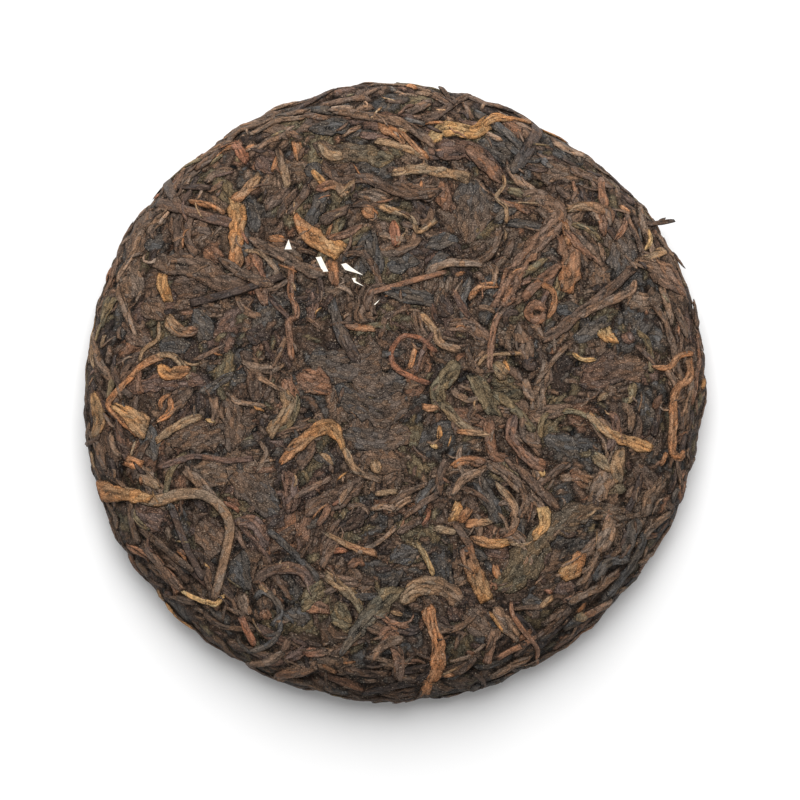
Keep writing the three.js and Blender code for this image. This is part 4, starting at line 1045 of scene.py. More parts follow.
def leafPiece(name, leaves, material):
    places, quads, triangles, quadMaps, triangleMaps, sizes = [], [], [], [], [], []
    tint, spot, ironed, depth, worn = [], [], [], [], []
    first = 0
    for leaf in leaves:
        rows, ring = leaf["u"].shape
        faces, caps = leafFaces(rows, ring)
        quads.append(faces + first)
        triangles.append(caps + first)
        faceMap, capMap, size = leafMap(leaf, ring)
        quadMaps.append(faceMap)
        triangleMaps.append(capMap)
        sizes.append(size)
        places.append(leaf["places"].reshape(-1, 3))
        colour = np.repeat(leaf["colour"][:, None], ring, axis=1).reshape(-1, 3)
        tint.append(np.hstack([colour, np.ones((len(colour), 1))]))
        along = np.repeat(leaf["along"][:, None], ring, axis=1)
        place = np.stack([along, leaf["out"], np.full_like(along, leaf["seed"])], axis=-1)
        spot.append(place.reshape(-1, 3))
        ironed.append(leaf["ironed"].ravel())
        depth.append(leaf["depth"].ravel())
        worn.append(leaf["worn"].ravel())
        first += rows * ring
    corners, side = packCells(sizes, 0.5)
    for maps in (quadMaps, triangleMaps):
        for k, (x, y) in enumerate(corners):
            maps[k] = (maps[k] + np.array([x + 0.5, y])) / side
    values = dict(
        tint=("FLOAT_COLOR", "color", np.vstack(tint)),
        leafPlace=("FLOAT_VECTOR", "vector", np.vstack(spot)),
        ironed=("FLOAT", "value", np.concatenate(ironed)),
        depth=("FLOAT", "value", np.concatenate(depth)),
        worn=("FLOAT", "value", np.concatenate(worn)),
    )
    piece = meshFrom(name, np.vstack(places), np.vstack(quads), np.vstack(triangles),
                     np.vstack(quadMaps), np.vstack(triangleMaps), values)
    piece.data.materials.append(material)
    count = 2 * sum(map(len, quads)) + sum(map(len, triangles))
    print("made", name, "of", len(leaves), "leaves,", count, "triangles")
    return piece


# The mat is made in closed pieces: a disc for the face and for the underside, each an even square
# grid drawn out to a circle and shut by a plain cone inside the cake, and a ring for the edge

mats = dict(
    matFace=dict(count=300, reach=60.8, skirt=0.6, inside=6.0),
    matRim=dict(around=960, rows=66, inner=60.0, outer=93.0, strips=4),
    matUnder=dict(count=200, reach=72.0, skirt=0.0, inside=9.0),
)


def discGrid(count, reach):
    edge = np.linspace(-1, 1, count + 1)
    a, b = np.meshgrid(edge, edge, indexing="ij")
    wide = np.abs(a) >= np.abs(b)
    away = np.where(wide, a, b)
    safe = np.where(away == 0, 1, away)
    angle = np.where(wide, math.pi / 4 * b / safe, math.pi / 2 - math.pi / 4 * a / safe)
    return away * np.cos(angle) * reach, away * np.sin(angle) * reach, (a + 1) / 2, (b + 1) / 2


def matMesh(name, chart, u, v, sink, inside, quads, triangles, quadMap, triangleMap):
    rows, cols = chart.cells(u, v)
    places = chart.world(u, v, chart.sample(chart.lift, u, v) - sink).reshape(-1, 3)
    colour = chart.colour[rows, cols].reshape(-1, 3)
    # depth carries the painted shade in the gaps, and the painted light and shade makes ridges paler and
    # grooves darker
    fields = dict(tint=np.hstack([colour, np.ones((len(colour), 1))]),
                  leafPlace=chart.place[rows, cols].reshape(-1, 3),
                  ironed=chart.sample(chart.flat, u, v).reshape(-1, 1),
                  depth=chart.sample(chart.deep, u, v).reshape(-1, 1),
                  worn=chart.sample(chart.worn, u, v).reshape(-1, 1))
    if inside:
        places = np.vstack([places, [[0, 0, inside]]])
        fields = {label: np.vstack([data, data[-1:]]) for label, data in fields.items()}
    kinds = dict(tint=("FLOAT_COLOR", "color"), leafPlace=("FLOAT_VECTOR", "vector"))
    values = {label: (*kinds.get(label, ("FLOAT", "value")), data) for label, data in fields.items()}
    piece = meshFrom(name, places * mm, quads, triangles, quadMap, triangleMap, values)
    piece.data.materials.append(leafMaterial(name))
    print("made", name, "of", 2 * len(quads) + len(triangles), "triangles")
    return piece


def matDisc(name, chart):
    look = mats[name]
    count = look["count"]
    u, v, mapU, mapV = discGrid(count, look["reach"])
    outermost = np.zeros_like(u)
    outermost[[0, -1], :] = outermost[:, [0, -1]] = look["skirt"]
    i = np.arange(count)[:, None]
    j = np.arange(count)[None, :]
    at = i * (count + 1) + j
    quads = np.stack([at, at + count + 1, at + count + 2, at + 1], axis=-1).reshape(-1, 4)
    side = np.arange(count)
    corner = count * (count + 1)
    rim = [side * (count + 1), corner + side, (count - side) * (count + 1) + count, count - side]
    rim = np.concatenate(rim)
    lid = np.stack([np.roll(rim, -1), rim, np.full(4 * count, (count + 1) ** 2)], axis=-1)
    spots = np.vstack([np.stack([mapU.ravel(), mapV.ravel()], axis=-1), [[0.5, 0.5]]])
    lidMap = 0.001 * spots[lid]  # nothing shows on the cone, so its map is tiny
    return matMesh(name, chart, u, v, outermost, look["inside"], quads, lid, spots[quads], lidMap)


def matRing(name, chart):
    look = mats[name]
    around, rows, strips = look["around"], look["rows"], look["strips"]
    away, turn = np.meshgrid(np.linspace(look["inner"], look["outer"], rows + 1),
                             np.arange(around) * 2 * math.pi / around, indexing="ij")
    i = np.arange(rows + 1)[:, None]  # the last row joins the first through the inside
    j = np.arange(around)[None, :]
    after, beyond = (j + 1) % around, (i + 1) % (rows + 1)
    corners = ((i, j), (beyond, j), (beyond, after), (i, after))
    quads = np.stack([np.broadcast_to(a * around + b, (rows + 1, around)) for a, b in corners], axis=-1)
    inStrip = around // strips
    strip, column = j // inStrip, j % inStrip
    maps = []
    for a, b in ((0, 0), (1, 0), (1, 1), (0, 1)):
        up = (strip + 0.97 * np.minimum(i + a, rows) / rows) / strips
        maps.append(np.broadcast_arrays(0.999 * (column + b) / inStrip, up))
    quadMap = np.stack([np.stack(pair, axis=-1) for pair in maps], axis=-2)
    noTriangles = np.zeros((0, 3), dtype=int)
    return matMesh(name, chart, away * np.cos(turn), away * np.sin(turn), 0.0, None, quads.reshape(-1, 4),
                   noTriangles, quadMap.reshape(-1, 4, 2), np.zeros((0, 3, 2)))


# Paper corners lie in the stack like the leaves, under the last ones

def layPaper(chart):
    steps = np.linspace(0, 1, 12)
    laid = []
    for corners in paperCorners["pieces"]:
        u, v = fromPhoto(corners).T
        level = float(np.max(chart.sample(chart.stack, u, v))) + paperCorners["over"]
        middle = np.array([u.mean(), v.mean()])
        for share in steps:
            for a in range(len(u)):
                b = (a + 1) % len(u)
                chart.raiseTo(middle[0] + share * (u[a] + (u[b] - u[a]) * steps - middle[0]),
                              middle[1] + share * (v[a] + (v[b] - v[a]) * steps - middle[1]),
                              np.full(len(steps), level))
        laid.append((u, v, level))
    return laid


def paperPiece(chart, laid, level, material):
    made = bmesh.new()
    for u, v, height in laid:
        above = height - chart.sample(chart.sheet, u, v)
        lift = level + press["proud"] * np.tanh(above.max() / press["proud"]) + paperCorners["lifted"]
        upper, lower = ([made.verts.new(point * mm) for point in chart.world(u, v, np.full(len(u), high))]
                        for high in (lift, lift - paperCorners["thick"]))
        made.faces.new(upper)
        made.faces.new(lower[::-1])
        for a in range(len(upper)):
            b = (a + 1) % len(upper)
            made.faces.new([upper[b], upper[a], lower[a], lower[b]])
    bmesh.ops.recalc_face_normals(made, faces=made.faces)
    mesh = bpy.data.meshes.new("paperCorners")
    made.to_mesh(mesh)
    made.free()
    piece = bpy.data.objects.new("paperCorners", mesh)
    bpy.context.scene.collection.objects.link(piece)
    mesh.materials.append(material)
    print("made the paper corners")
    return piece


# Node groups: each effect is built once and placed in the materials with its own values

def newGroup(name, inputs, outputs):
    tree = bpy.data.node_groups.new(name, "ShaderNodeTree")
    for label, kind, start in inputs:
        socket = tree.interface.new_socket(label, in_out="INPUT", socket_type=kind)
        if start is not None:
            socket.default_value = start
    for label, kind in outputs:
        tree.interface.new_socket(label, in_out="OUTPUT", socket_type=kind)
    return tree, tree.nodes.new("NodeGroupInput").outputs, tree.nodes.new("NodeGroupOutput").inputs


def put(tree, kind, feeds=(), **settings):
    node = tree.nodes.new(kind)
    for label, value in settings.items():
        setattr(node, label, value)
    for label, value in dict(feeds).items():
        if isinstance(value, bpy.types.NodeSocket):
            tree.links.new(value, node.inputs[label])
        else:
            node.inputs[label].default_value = value
    return node


def reckon(tree, operation, *values):
    return put(tree, "ShaderNodeMath", enumerate(values), operation=operation).outputs[0]


def vectorMath(tree, operation, first, second):
    return put(tree, "ShaderNodeVectorMath", {0: first, 1: second}, operation=operation).outputs[0]


def spread(tree, value, low, high, toLow=0.0, toHigh=1.0):
    feeds = {"Value": value, "From Min": low, "From Max": high, "To Min": toLow, "To Max": toHigh}
    return put(tree, "ShaderNodeMapRange", feeds).outputs["Result"]


def mixed(tree, share, first, second, blend="MIX"):
    node = put(tree, "ShaderNodeMix", data_type="RGBA", blend_type=blend)
    for socket, value in zip((node.inputs[0], node.inputs[6], node.inputs[7]), (share, first, second)):
        if isinstance(value, bpy.types.NodeSocket):
            tree.links.new(value, socket)
        else:
            socket.default_value = value
    return node.outputs[2]


grainLook = dict(
    wrinkle=(0.22, 1.5, 3.0, 0.6),  # per mm along the leaf and across it, detail, roughness
    vein=(0.8, 3.6, 3.0, 0.7),
    patch=(0.25, 0.4, 3.0, 0.55),
    between=(0.28, 0.72),  # the noise from its darkest to its palest
    wrinkleShare=0.36,
    veinShare=0.6,
    patchShare=0.55,
    darkest=0.3,
)


def leafGrainGroup():
    # wrinkles and veins that run along each leaf, and its slow change of tone
    tree, given, result = newGroup(
        "leafGrain",
        [("Place", "NodeSocketVector", None), ("Contrast", "NodeSocketFloat", 0.4)],
        [("Shade", "NodeSocketFloat"), ("Height", "NodeSocketFloat")])

    def streaks(along, across, detail, roughness):
        place = vectorMath(tree, "MULTIPLY", given["Place"], (along, across, 1.0))
        feeds = {"Vector": place, "Scale": 1.0, "Detail": detail, "Roughness": roughness}
        noise = put(tree, "ShaderNodeTexNoise", feeds).outputs["Fac"]
        return spread(tree, noise, *grainLook["between"], -1.0, 1.0)

    wrinkle, vein, patch = (streaks(*grainLook[name]) for name in ("wrinkle", "vein", "patch"))
    fibre = reckon(tree, "ADD", reckon(tree, "MULTIPLY", wrinkle, grainLook["wrinkleShare"]),
                   reckon(tree, "MULTIPLY", vein, grainLook["veinShare"]))
    change = reckon(tree, "MULTIPLY_ADD", patch, grainLook["patchShare"], fibre)
    shade = reckon(tree, "MULTIPLY_ADD", change, given["Contrast"], 1.0)
    shade = reckon(tree, "MAXIMUM", shade, grainLook["darkest"])
    tree.links.new(shade, result["Shade"])
    tree.links.new(fibre, result["Height"])
    return tree


crinkleLook = dict(
    wander=1.5,  # mm that the creases stray
    apart=5.3,  # each leaf has another part of the pattern
    finer=(1.0, 2.3),
    creaseWide=0.11,
    fineCrease=0.55,
    coarseTone=1.1,
    fineTone=0.9,
)


def crinkleGroup():
    # the small facets of a crumpled leaf: thin creases between them, and each with its own tone; the
    # materials darken the creases as painted shade
    tree, given, result = newGroup(
        "crinkle",
        [("Place", "NodeSocketVector", None), ("Size", "NodeSocketFloat", 1.0)],
        [("Crease", "NodeSocketFloat"), ("Tone", "NodeSocketFloat"), ("Hue", "NodeSocketFloat")])
    scale = reckon(tree, "DIVIDE", 1.0, given["Size"])
    bend = put(tree, "ShaderNodeTexNoise", {"Vector": given["Place"], "Scale": scale, "Detail": 2.0})
    centred = vectorMath(tree, "SUBTRACT", bend.outputs["Color"], (0.5, 0.5, 0.5))
    feeds = {0: centred, "Scale": crinkleLook["wander"]}
    shift = put(tree, "ShaderNodeVectorMath", feeds, operation="SCALE").outputs[0]
    apart = put(tree, "ShaderNodeSeparateXYZ", {"Vector": given["Place"]}).outputs["Z"]
    sideways = reckon(tree, "MULTIPLY", apart, crinkleLook["apart"])
    offset = put(tree, "ShaderNodeCombineXYZ", {"X": sideways, "Y": apart}).outputs[0]
    warped = vectorMath(tree, "ADD", vectorMath(tree, "ADD", given["Place"], shift), offset)
    creases, facets = [], []
    for finer in crinkleLook["finer"]:
        feeds = {"Vector": warped, "Scale": reckon(tree, "MULTIPLY", scale, finer)}
        border = put(tree, "ShaderNodeTexVoronoi", feeds, voronoi_dimensions="2D",
                     feature="DISTANCE_TO_EDGE")
        creases.append(spread(tree, border.outputs["Distance"], 0.0, crinkleLook["creaseWide"], 1.0, 0.0))
        cell = put(tree, "ShaderNodeTexVoronoi", feeds, voronoi_dimensions="2D", feature="F1")
        facets.append(put(tree, "ShaderNodeSeparateColor", {"Color": cell.outputs["Color"]}).outputs)
    fineCrease = reckon(tree, "MULTIPLY", creases[1], crinkleLook["fineCrease"])
    crease = reckon(tree, "MAXIMUM", creases[0], fineCrease)
    tone = reckon(tree, "MULTIPLY_ADD", facets[0][0], crinkleLook["coarseTone"], -1.0)
    tone = reckon(tree, "MULTIPLY_ADD", facets[1][0], crinkleLook["fineTone"], tone)
    tree.links.new(crease, result["Crease"])
    tree.links.new(tone, result["Tone"])
    tree.links.new(facets[0][1], result["Hue"])
    return tree


printLook = dict(waverScale=260.0, waver=9.0)  # per metre, and how far the threads stray


def pressPrintGroup():
    # the print of the cotton bag where a leaf was ironed flat against it
    tree, given, result = newGroup(
        "pressPrint",
        [("Ironed", "NodeSocketFloat", 1.0), ("Spacing", "NodeSocketFloat", 0.8)],
        [("Height", "NodeSocketFloat")])
    place = put(tree, "ShaderNodeTexCoord").outputs["Object"]
    feeds = {"Vector": place, "Scale": printLook["waverScale"], "Detail": 1.0}
    waver = put(tree, "ShaderNodeTexNoise", feeds)
    parts = put(tree, "ShaderNodeSeparateXYZ", {"Vector": place})
    turn = reckon(tree, "DIVIDE", 2 * math.pi / mm, given["Spacing"])
    shift = reckon(tree, "MULTIPLY", waver.outputs["Fac"], printLook["waver"])
    threads = [reckon(tree, "SINE", reckon(tree, "MULTIPLY_ADD", parts.outputs[way], turn, shift))
               for way in ("X", "Y")]
    weave = reckon(tree, "MULTIPLY", *threads)
    tree.links.new(reckon(tree, "MULTIPLY", weave, given["Ironed"]), result["Height"])
    return tree


dustAndGlintLook = dict(
    finer=1.3,
    fleckFrom=0.74,  # where flecks begin in the noise, and how much more dust and painted glint lowers it
    fleckMore=0.6,
    fleckFull=0.78,
    grains=(0.3, 0.7),  # the fine noise from its darkest to its palest
)


def teaDustAndGlintsGroup():
    # flecks of crumbs and broken hairs too fine to be leaves, and pale flecks that stand in for painted
    # glints of sheen
    tree, given, result = newGroup(
        "teaDustAndGlints",
        [("Size", "NodeSocketFloat", 0.4), ("Amount", "NodeSocketFloat", 0.15)],
        [("Mask", "NodeSocketFloat"), ("Speckle", "NodeSocketFloat")])
    place = put(tree, "ShaderNodeTexCoord").outputs["Object"]
    scale = reckon(tree, "MULTIPLY", reckon(tree, "DIVIDE", 1 / mm, given["Size"]), dustAndGlintLook["finer"])
    flecks = put(tree, "ShaderNodeTexNoise", {"Vector": place, "Scale": scale, "Detail": 1.0})
    more = reckon(tree, "MULTIPLY", given["Amount"], dustAndGlintLook["fleckMore"])
    lowest = reckon(tree, "SUBTRACT", dustAndGlintLook["fleckFrom"], more)
    mask = spread(tree, flecks.outputs["Fac"], lowest, dustAndGlintLook["fleckFull"])
    tree.links.new(mask, result["Mask"])
    feeds = {"Vector": place, "Scale": scale, "Detail": 2.0, "Roughness": 0.7}
    fine = put(tree, "ShaderNodeTexNoise", feeds)
    tree.links.new(spread(tree, fine.outputs["Fac"], *dustAndGlintLook["grains"], -1.0, 1.0), result["Speckle"])
    return tree


paintedGapShadeLook = dict(power=0.7, most=0.93)  # how soon the painted gap shade gets dark, and how dark at the bottom


def deepShadeGroup():
    # painted shade: leaf low in a gap is painted dark towards the shade colour
    tree, given, result = newGroup(
        "deepShade",
        [("Colour", "NodeSocketColor", None), ("Depth", "NodeSocketFloat", 0.0),
         ("Painted Shade Colour", "NodeSocketColor", None)],
        [("Colour", "NodeSocketColor")])
    share = reckon(tree, "POWER", given["Depth"], paintedGapShadeLook["power"])
    share = reckon(tree, "MULTIPLY", share, paintedGapShadeLook["most"])
    tree.links.new(mixed(tree, share, given["Colour"], given["Painted Shade Colour"]), result["Colour"])
    return tree


groups = dict(
    leafGrain=leafGrainGroup(),
    crinkle=crinkleGroup(),
    pressPrint=pressPrintGroup(),
    teaDustAndGlints=teaDustAndGlintsGroup(),
    deepShade=deepShadeGroup(),
)


def screenColour(colour):
    return (*linear(colour), 1.0)


# What a user would change in the leaves' finish: contrast and depth of the grain, size and depth of the
# crinkles in mm, cotton print, dust and painted glints, smooth and dull roughness

leafLooks = dict(
    pressedPatches=dict(contrast=0.30, grain=0.10, facet=1.3, crinkle=0.13, print=0.03, dustAndGlints=0.14,
                        smooth=0.50, dull=0.78),
    broadLeaves=dict(contrast=0.34, grain=0.12, facet=1.5, crinkle=0.12, print=0.03, dustAndGlints=0.12,
                     smooth=0.52, dull=0.80),
    rolledLeaves=dict(contrast=0.38, grain=0.13, facet=1.3, crinkle=0.10, print=0.02, dustAndGlints=0.10,
                      smooth=0.54, dull=0.80),
    goldenTips=dict(contrast=0.42, grain=0.14, facet=1.3, crinkle=0.08, print=0.015, dustAndGlints=0.10,
                    smooth=0.62, dull=0.84),
    stems=dict(contrast=0.42, grain=0.12, facet=1.6, crinkle=0.03, print=0.01, dustAndGlints=0.09,
               smooth=0.54, dull=0.76),
    shreds=dict(contrast=0.34, grain=0.08, facet=1.0, crinkle=0.04, print=0.0, dustAndGlints=0.07,
                smooth=0.62, dull=0.86),
    rimLeaves=dict(contrast=0.38, grain=0.13, facet=1.3, crinkle=0.12, print=0.015, dustAndGlints=0.09,
                   smooth=0.56, dull=0.84),
    underLeaves=dict(contrast=0.36, grain=0.13, facet=1.5, crinkle=0.11, print=0.03, dustAndGlints=0.11,
                     smooth=0.52, dull=0.82),
    matFace=dict(contrast=0.34, grain=0.12, facet=1.2, crinkle=0.13, print=0.03, dustAndGlints=0.14,
                 smooth=0.54, dull=0.84),
    matRim=dict(contrast=0.34, grain=0.12, facet=1.2, crinkle=0.13, print=0.02, dustAndGlints=0.10,
                smooth=0.56, dull=0.84),
    matUnder=dict(contrast=0.34, grain=0.12, facet=1.2, crinkle=0.13, print=0.03, dustAndGlints=0.12,
                  smooth=0.56, dull=0.84),
)

sharedLook = dict(
    # colour that the painted shade in the gaps goes towards
    paintedGapShadeColour=(58, 35, 20),
    # pale flecks of dust, also standing in for painted glints of sheen
    dustAndGlintColour=(200, 184, 162),
    dustSize=0.42,
    dustAndGlintCover=0.6,
    dustHeight=0.05,
    printSpacing=0.8,
    # how much the painted light and shade makes ridges paler and grooves and edges darker
    grooveShade=0.66,
    speckle=0.70,
    # how much painted shade darkens the creases
    creaseShade=0.45,
    facetShade=0.28,
    facetHeight=0.4,  # times the depth of the crinkles
    facetStretch=(0.62, 1.3, 1.0),
    warmer=(1.15, 0.97, 0.84),
    cooler=(0.92, 0.99, 1.12),
    darkToPale=(0.05, 0.16),  # lightness of smooth and of dull leaf
    strength=1.0,
    sheen=0.16,
)


def leafMaterial(name):
    look = leafLooks[name]
    material = bpy.data.materials.new(name)
    material.use_nodes = True
    tree = material.node_tree
    shader = tree.nodes["Principled BSDF"]
    shader.inputs["Specular IOR Level"].default_value = sharedLook["sheen"]
    tint, spot, ironed, depth, worn = (
        put(tree, "ShaderNodeAttribute", attribute_name=label).outputs
        for label in ("tint", "leafPlace", "ironed", "depth", "worn"))

    grain = put(tree, "ShaderNodeGroup", node_tree=groups["leafGrain"])
    tree.links.new(spot["Vector"], grain.inputs["Place"])
    grain.inputs["Contrast"].default_value = look["contrast"]
    crinkle = put(tree, "ShaderNodeGroup", node_tree=groups["crinkle"])
    facetPlace = vectorMath(tree, "MULTIPLY", spot["Vector"], sharedLook["facetStretch"])
    tree.links.new(facetPlace, crinkle.inputs["Place"])
    crinkle.inputs["Size"].default_value = look["facet"]
    cloth = put(tree, "ShaderNodeGroup", node_tree=groups["pressPrint"])
    tree.links.new(ironed["Fac"], cloth.inputs["Ironed"])
    cloth.inputs["Spacing"].default_value = sharedLook["printSpacing"]
    dustAndGlints = put(tree, "ShaderNodeGroup", node_tree=groups["teaDustAndGlints"])
    dustAndGlints.inputs["Size"].default_value = sharedLook["dustSize"]
    dustAndGlints.inputs["Amount"].default_value = look["dustAndGlints"]
    # painted shade: gaps darken towards the shade colour by their depth
    gap = put(tree, "ShaderNodeGroup", node_tree=groups["deepShade"])
    gap.inputs["Painted Shade Colour"].default_value = screenColour(sharedLook["paintedGapShadeColour"])

    # painted light and shade: ridges paler, grooves and edges darker
    shade = reckon(tree, "MULTIPLY_ADD", worn["Fac"], sharedLook["grooveShade"], 1.0)
    shade = reckon(tree, "MULTIPLY_ADD", dustAndGlints.outputs["Speckle"], sharedLook["speckle"], shade)
    shade = reckon(tree, "MULTIPLY_ADD", crinkle.outputs["Tone"], sharedLook["facetShade"], shade)
    shade = reckon(tree, "MULTIPLY", grain.outputs["Shade"], shade)
    # painted shade: the creases are darkened
    creased = reckon(tree, "MULTIPLY_ADD", crinkle.outputs["Crease"], -sharedLook["creaseShade"], 1.0)
    shade = reckon(tree, "MULTIPLY", shade, creased)
    hue = mixed(tree, crinkle.outputs["Hue"], (*sharedLook["warmer"], 1), (*sharedLook["cooler"], 1))
    shaded = mixed(tree, 1.0, mixed(tree, 1.0, tint["Color"], hue, "MULTIPLY"), shade, "MULTIPLY")
    # pale flecks: real dust, and painted glints of sheen
    dustAndGlintShare = reckon(tree, "MULTIPLY", dustAndGlints.outputs["Mask"], sharedLook["dustAndGlintCover"])
    withDustAndGlints = mixed(tree, dustAndGlintShare, shaded, screenColour(sharedLook["dustAndGlintColour"]))
    tree.links.new(withDustAndGlints, gap.inputs["Colour"])
    tree.links.new(depth["Fac"], gap.inputs["Depth"])
    tree.links.new(gap.outputs["Colour"], shader.inputs["Base Color"])

    lightness = put(tree, "ShaderNodeRGBToBW", {"Color": shaded}).outputs[0]
    rough = spread(tree, lightness, *sharedLook["darkToPale"], look["smooth"], look["dull"])
    tree.links.new(rough, shader.inputs["Roughness"])

    height = reckon(tree, "ADD", reckon(tree, "MULTIPLY", grain.outputs["Height"], look["grain"]),
                    reckon(tree, "MULTIPLY", cloth.outputs["Height"], look["print"]))
    height = reckon(tree, "MULTIPLY_ADD", dustAndGlints.outputs["Mask"], sharedLook["dustHeight"], height)
    height = reckon(tree, "MULTIPLY_ADD", crinkle.outputs["Crease"], -look["crinkle"], height)
    facetHeight = sharedLook["facetHeight"] * look["crinkle"]
    height = reckon(tree, "MULTIPLY_ADD", crinkle.outputs["Tone"], facetHeight, height)
    feeds = {"Strength": sharedLook["strength"], "Distance": mm, "Height": height}
    bump = put(tree, "ShaderNodeBump", feeds)
    tree.links.new(bump.outputs["Normal"], shader.inputs["Normal"])
    return material


def paperMaterial():
    material = bpy.data.materials.new("paperCorners")
    material.use_nodes = True
    tree = material.node_tree
    shader = tree.nodes["Principled BSDF"]
    shader.inputs["Specular IOR Level"].default_value = paperCorners["sheen"]
    place = put(tree, "ShaderNodeTexCoord").outputs["Object"]
    feeds = {"Vector": place, "Scale": paperCorners["pulpScale"], "Detail": 4.0}
    pulp = put(tree, "ShaderNodeTexNoise", feeds).outputs["Fac"]
    colour = mixed(tree, spread(tree, pulp, 0.3, 0.75),
                   screenColour(paperCorners["white"]), screenColour(paperCorners["shade"]))
    tree.links.new(colour, shader.inputs["Base Color"])
    rough = spread(tree, pulp, 0.3, 0.7, *paperCorners["rough"])
    tree.links.new(rough, shader.inputs["Roughness"])
    bump = put(tree, "ShaderNodeBump", {"Strength": 0.4, "Distance": 0.05 * mm, "Height": pulp})
    tree.links.new(bump.outputs["Normal"], shader.inputs["Normal"])
    return material


# The cake: the mat of small bits, the leaves over it, then all pressed flat

randomSeed = 7
matTones = dict(soot=0.08, ash=0.17, umber=0.21, bark=0.20, hide=0.13, olive=0.13, plum=0.04, russet=0.04)
rimTones = dict(soot=0.10, ash=0.06, umber=0.24, bark=0.26, hide=0.18, olive=0.05, plum=0.05, russet=0.06)
crumbTones = dict(rust=0.45, brick=0.2, fawn=0.25, amber=0.1)
shredTones = dict(umber=0.20, bark=0.24, hide=0.22, russet=0.12, rust=0.05, amber=0.03, fawn=0.14)

matRounds = [  # kind of leaf, share of the count, lengths, widths
    ("scrap", 0.8, (2.5, 7), (1.2, 2.8)),
    ("shred", 0.5, (1.5, 6), (0.6, 1.3)),
    ("broad", 1.3, (5, 17), (1.8, 4.6)),
    ("patch", 0.28, (7, 15), (4.5, 9)),
    ("scrap", 0.55, (2, 6), (0.9, 2.2)),
    ("shred", 0.4, (1.5, 5), (0.5, 1.1)),
]

face = Chart(98)
under = Chart(76, under=True)
random = np.random.default_rng(randomSeed)

matCounts = [(face, 1700, 97), (under, 900, 75)]  # chart, bits in a whole round, how far out they lie
for chart, count, outer in matCounts:
    for kindName, share, lengths, widths in matRounds:
        scatter(chart, "mat", random, int(share * count), kindName, lengths, widths, 0, outer,
                shares=matTones, edgeFrom=60, hug=0.2)
    chart.matStack = chart.stack.copy()

layShown(face, pressedPatches, random)
calm = calmPlaces()
scatter(face, "broadLeaves", random, 130, "broad", (6, 20), (2.6, 6.2), 0, 68, calm=calm)
scatter(face, "rimLeaves", random, 70, "broad", (6, 20), (2.2, 4.6), 66, 95, slant=0.6, shares=rimTones,
        hug=0.3)
scatter(face, "rolledLeaves", random, 310, "rolled", (4, 18), (1.2, 3.3), 0, 72, curl=0.9, calm=calm)
scatter(face, "rimLeaves", random, 190, "rolled", (3, 10), (1.1, 2.2), 63, 95, curl=1.1, slant=0.9,
        shares=rimTones, hug=0.25)
scatter(face, "rimLeaves", random, 120, "rolled", (9, 24), (1.5, 3.2), 65, 93, curl=1.0, slant=0.8,
        shares=rimTones, hug=0.35)
scatter(face, "goldenTips", random, 46, "rolled", (2, 6.5), (0.9, 2.1), 0, 82, shares=crumbTones,
        calm=calm)
paperLaid = layPaper(face)
layShown(face, shownLeaves, random)
layEdgeTips(face, random)
scatter(face, "shreds", random, 340, "shred", (2, 7), (0.5, 1.2), 0, 72, curl=1.0, shares=shredTones,
        calm=calm)
scatter(face, "shreds", random, 300, "shred", (2, 7), (0.6, 1.4), 64, 90, curl=1.0, slant=1.0, rise=0.3,
        hug=0.15)

scatter(under, "underLeaves", random, 60, "broad", (8, 24), (2.4, 6.0), 0, 72, edgeFrom=60)
scatter(under, "underLeaves", random, 110, "rolled", (5, 18), (1.2, 3.0), 0, 72, edgeFrom=60)
scatter(under, "shreds", random, 80, "shred", (3, 9), (0.5, 1.3), 0, 70, shares=shredTones)

faceLeaves = pressFlat(face, press["faceLevel"])
underLeaves = pressFlat(under, press["underLevel"])

pieces = [matDisc("matFace", face), matRing("matRim", face), matDisc("matUnder", under)]
for name in leafLooks:
    leaves = [leaf for leaf in faceLeaves + underLeaves if leaf["piece"] == name]
    if leaves:
        pieces.append(leafPiece(name, leaves, leafMaterial(name)))
for piece in pieces:
    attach(piece, "root")
    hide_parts("tea_cake")
paper = paperPiece(face, paperLaid, press["faceLevel"], paperMaterial())
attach(paper, "root")
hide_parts("tea_cake")


# Floor, light and camera

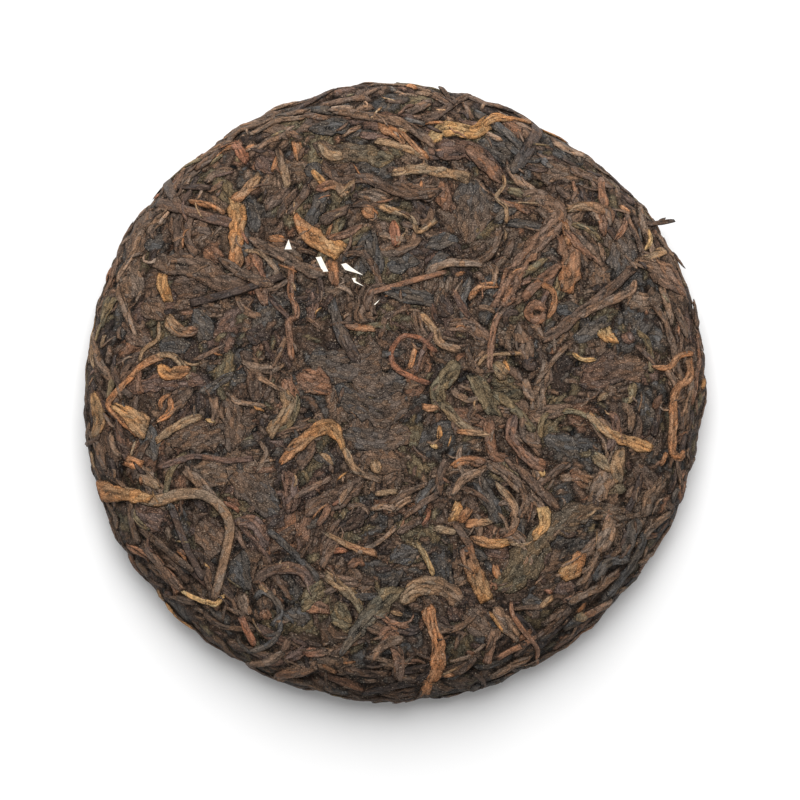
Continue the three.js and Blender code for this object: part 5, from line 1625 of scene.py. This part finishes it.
studio = dict(
    floorHalf=1.6,
    floorColour=(0.95, 0.95, 0.95),
    floorRough=0.9,
    floorSheen=0.1,
    world=0.4,
    keyPower=14.0,
    keyPlace=(0.0, 0.55, 0.84),
    keySize=(0.8, 1.3),  # across and up and down
)


def makeFloor():
    half = studio["floorHalf"]
    mesh = bpy.data.meshes.new("floor")
    corners = [(-half, -half, 0), (half, -half, 0), (half, half, 0), (-half, half, 0)]
    mesh.from_pydata(corners, [], [(0, 1, 2, 3)])
    floor = bpy.data.objects.new("floor", mesh)
    bpy.context.scene.collection.objects.link(floor)
    material = bpy.data.materials.new("floor")
    material.use_nodes = True
    shader = material.node_tree.nodes["Principled BSDF"]
    shader.inputs["Base Color"].default_value = (*studio["floorColour"], 1)
    shader.inputs["Roughness"].default_value = studio["floorRough"]
    shader.inputs["Specular IOR Level"].default_value = studio["floorSheen"]
    mesh.materials.append(material)


def makeLight():
    world = bpy.data.worlds.new("studio")
    bpy.context.scene.world = world
    world.use_nodes = True
    background = world.node_tree.nodes["Background"]
    background.inputs["Color"].default_value = (1, 1, 1, 1)
    background.inputs["Strength"].default_value = studio["world"]
    lamp = bpy.data.lights.new("key", "AREA")
    lamp.energy = studio["keyPower"]
    lamp.shape = "RECTANGLE"
    lamp.size, lamp.size_y = studio["keySize"]
    key = bpy.data.objects.new("key", lamp)
    key.location = studio["keyPlace"]
    key.rotation_euler = (-Vector(studio["keyPlace"])).to_track_quat("-Z", "Y").to_euler()
    bpy.context.scene.collection.objects.link(key)


def makeCamera():
    lens = bpy.data.cameras.new("photoView")
    lens.sensor_width = 36
    lens.lens = lens.sensor_width * cameraSet["distance"] / cameraSet["frameWidth"]
    camera = bpy.data.objects.new("photoView", lens)
    aim = Vector(cameraSet["middle"]) * mm
    rise = math.radians(cameraSet["elevation"])
    camera.location = aim + cameraSet["distance"] * mm * Vector((0, -math.cos(rise), math.sin(rise)))
    camera.rotation_euler = (aim - camera.location).to_track_quat("-Z", "Y").to_euler()
    bpy.context.scene.collection.objects.link(camera)
    bpy.context.scene.camera = camera


makeFloor()
makeLight()
makeCamera()
bpy.context.scene.view_settings.view_transform = "Standard"
print("made the floor, the light and the camera")
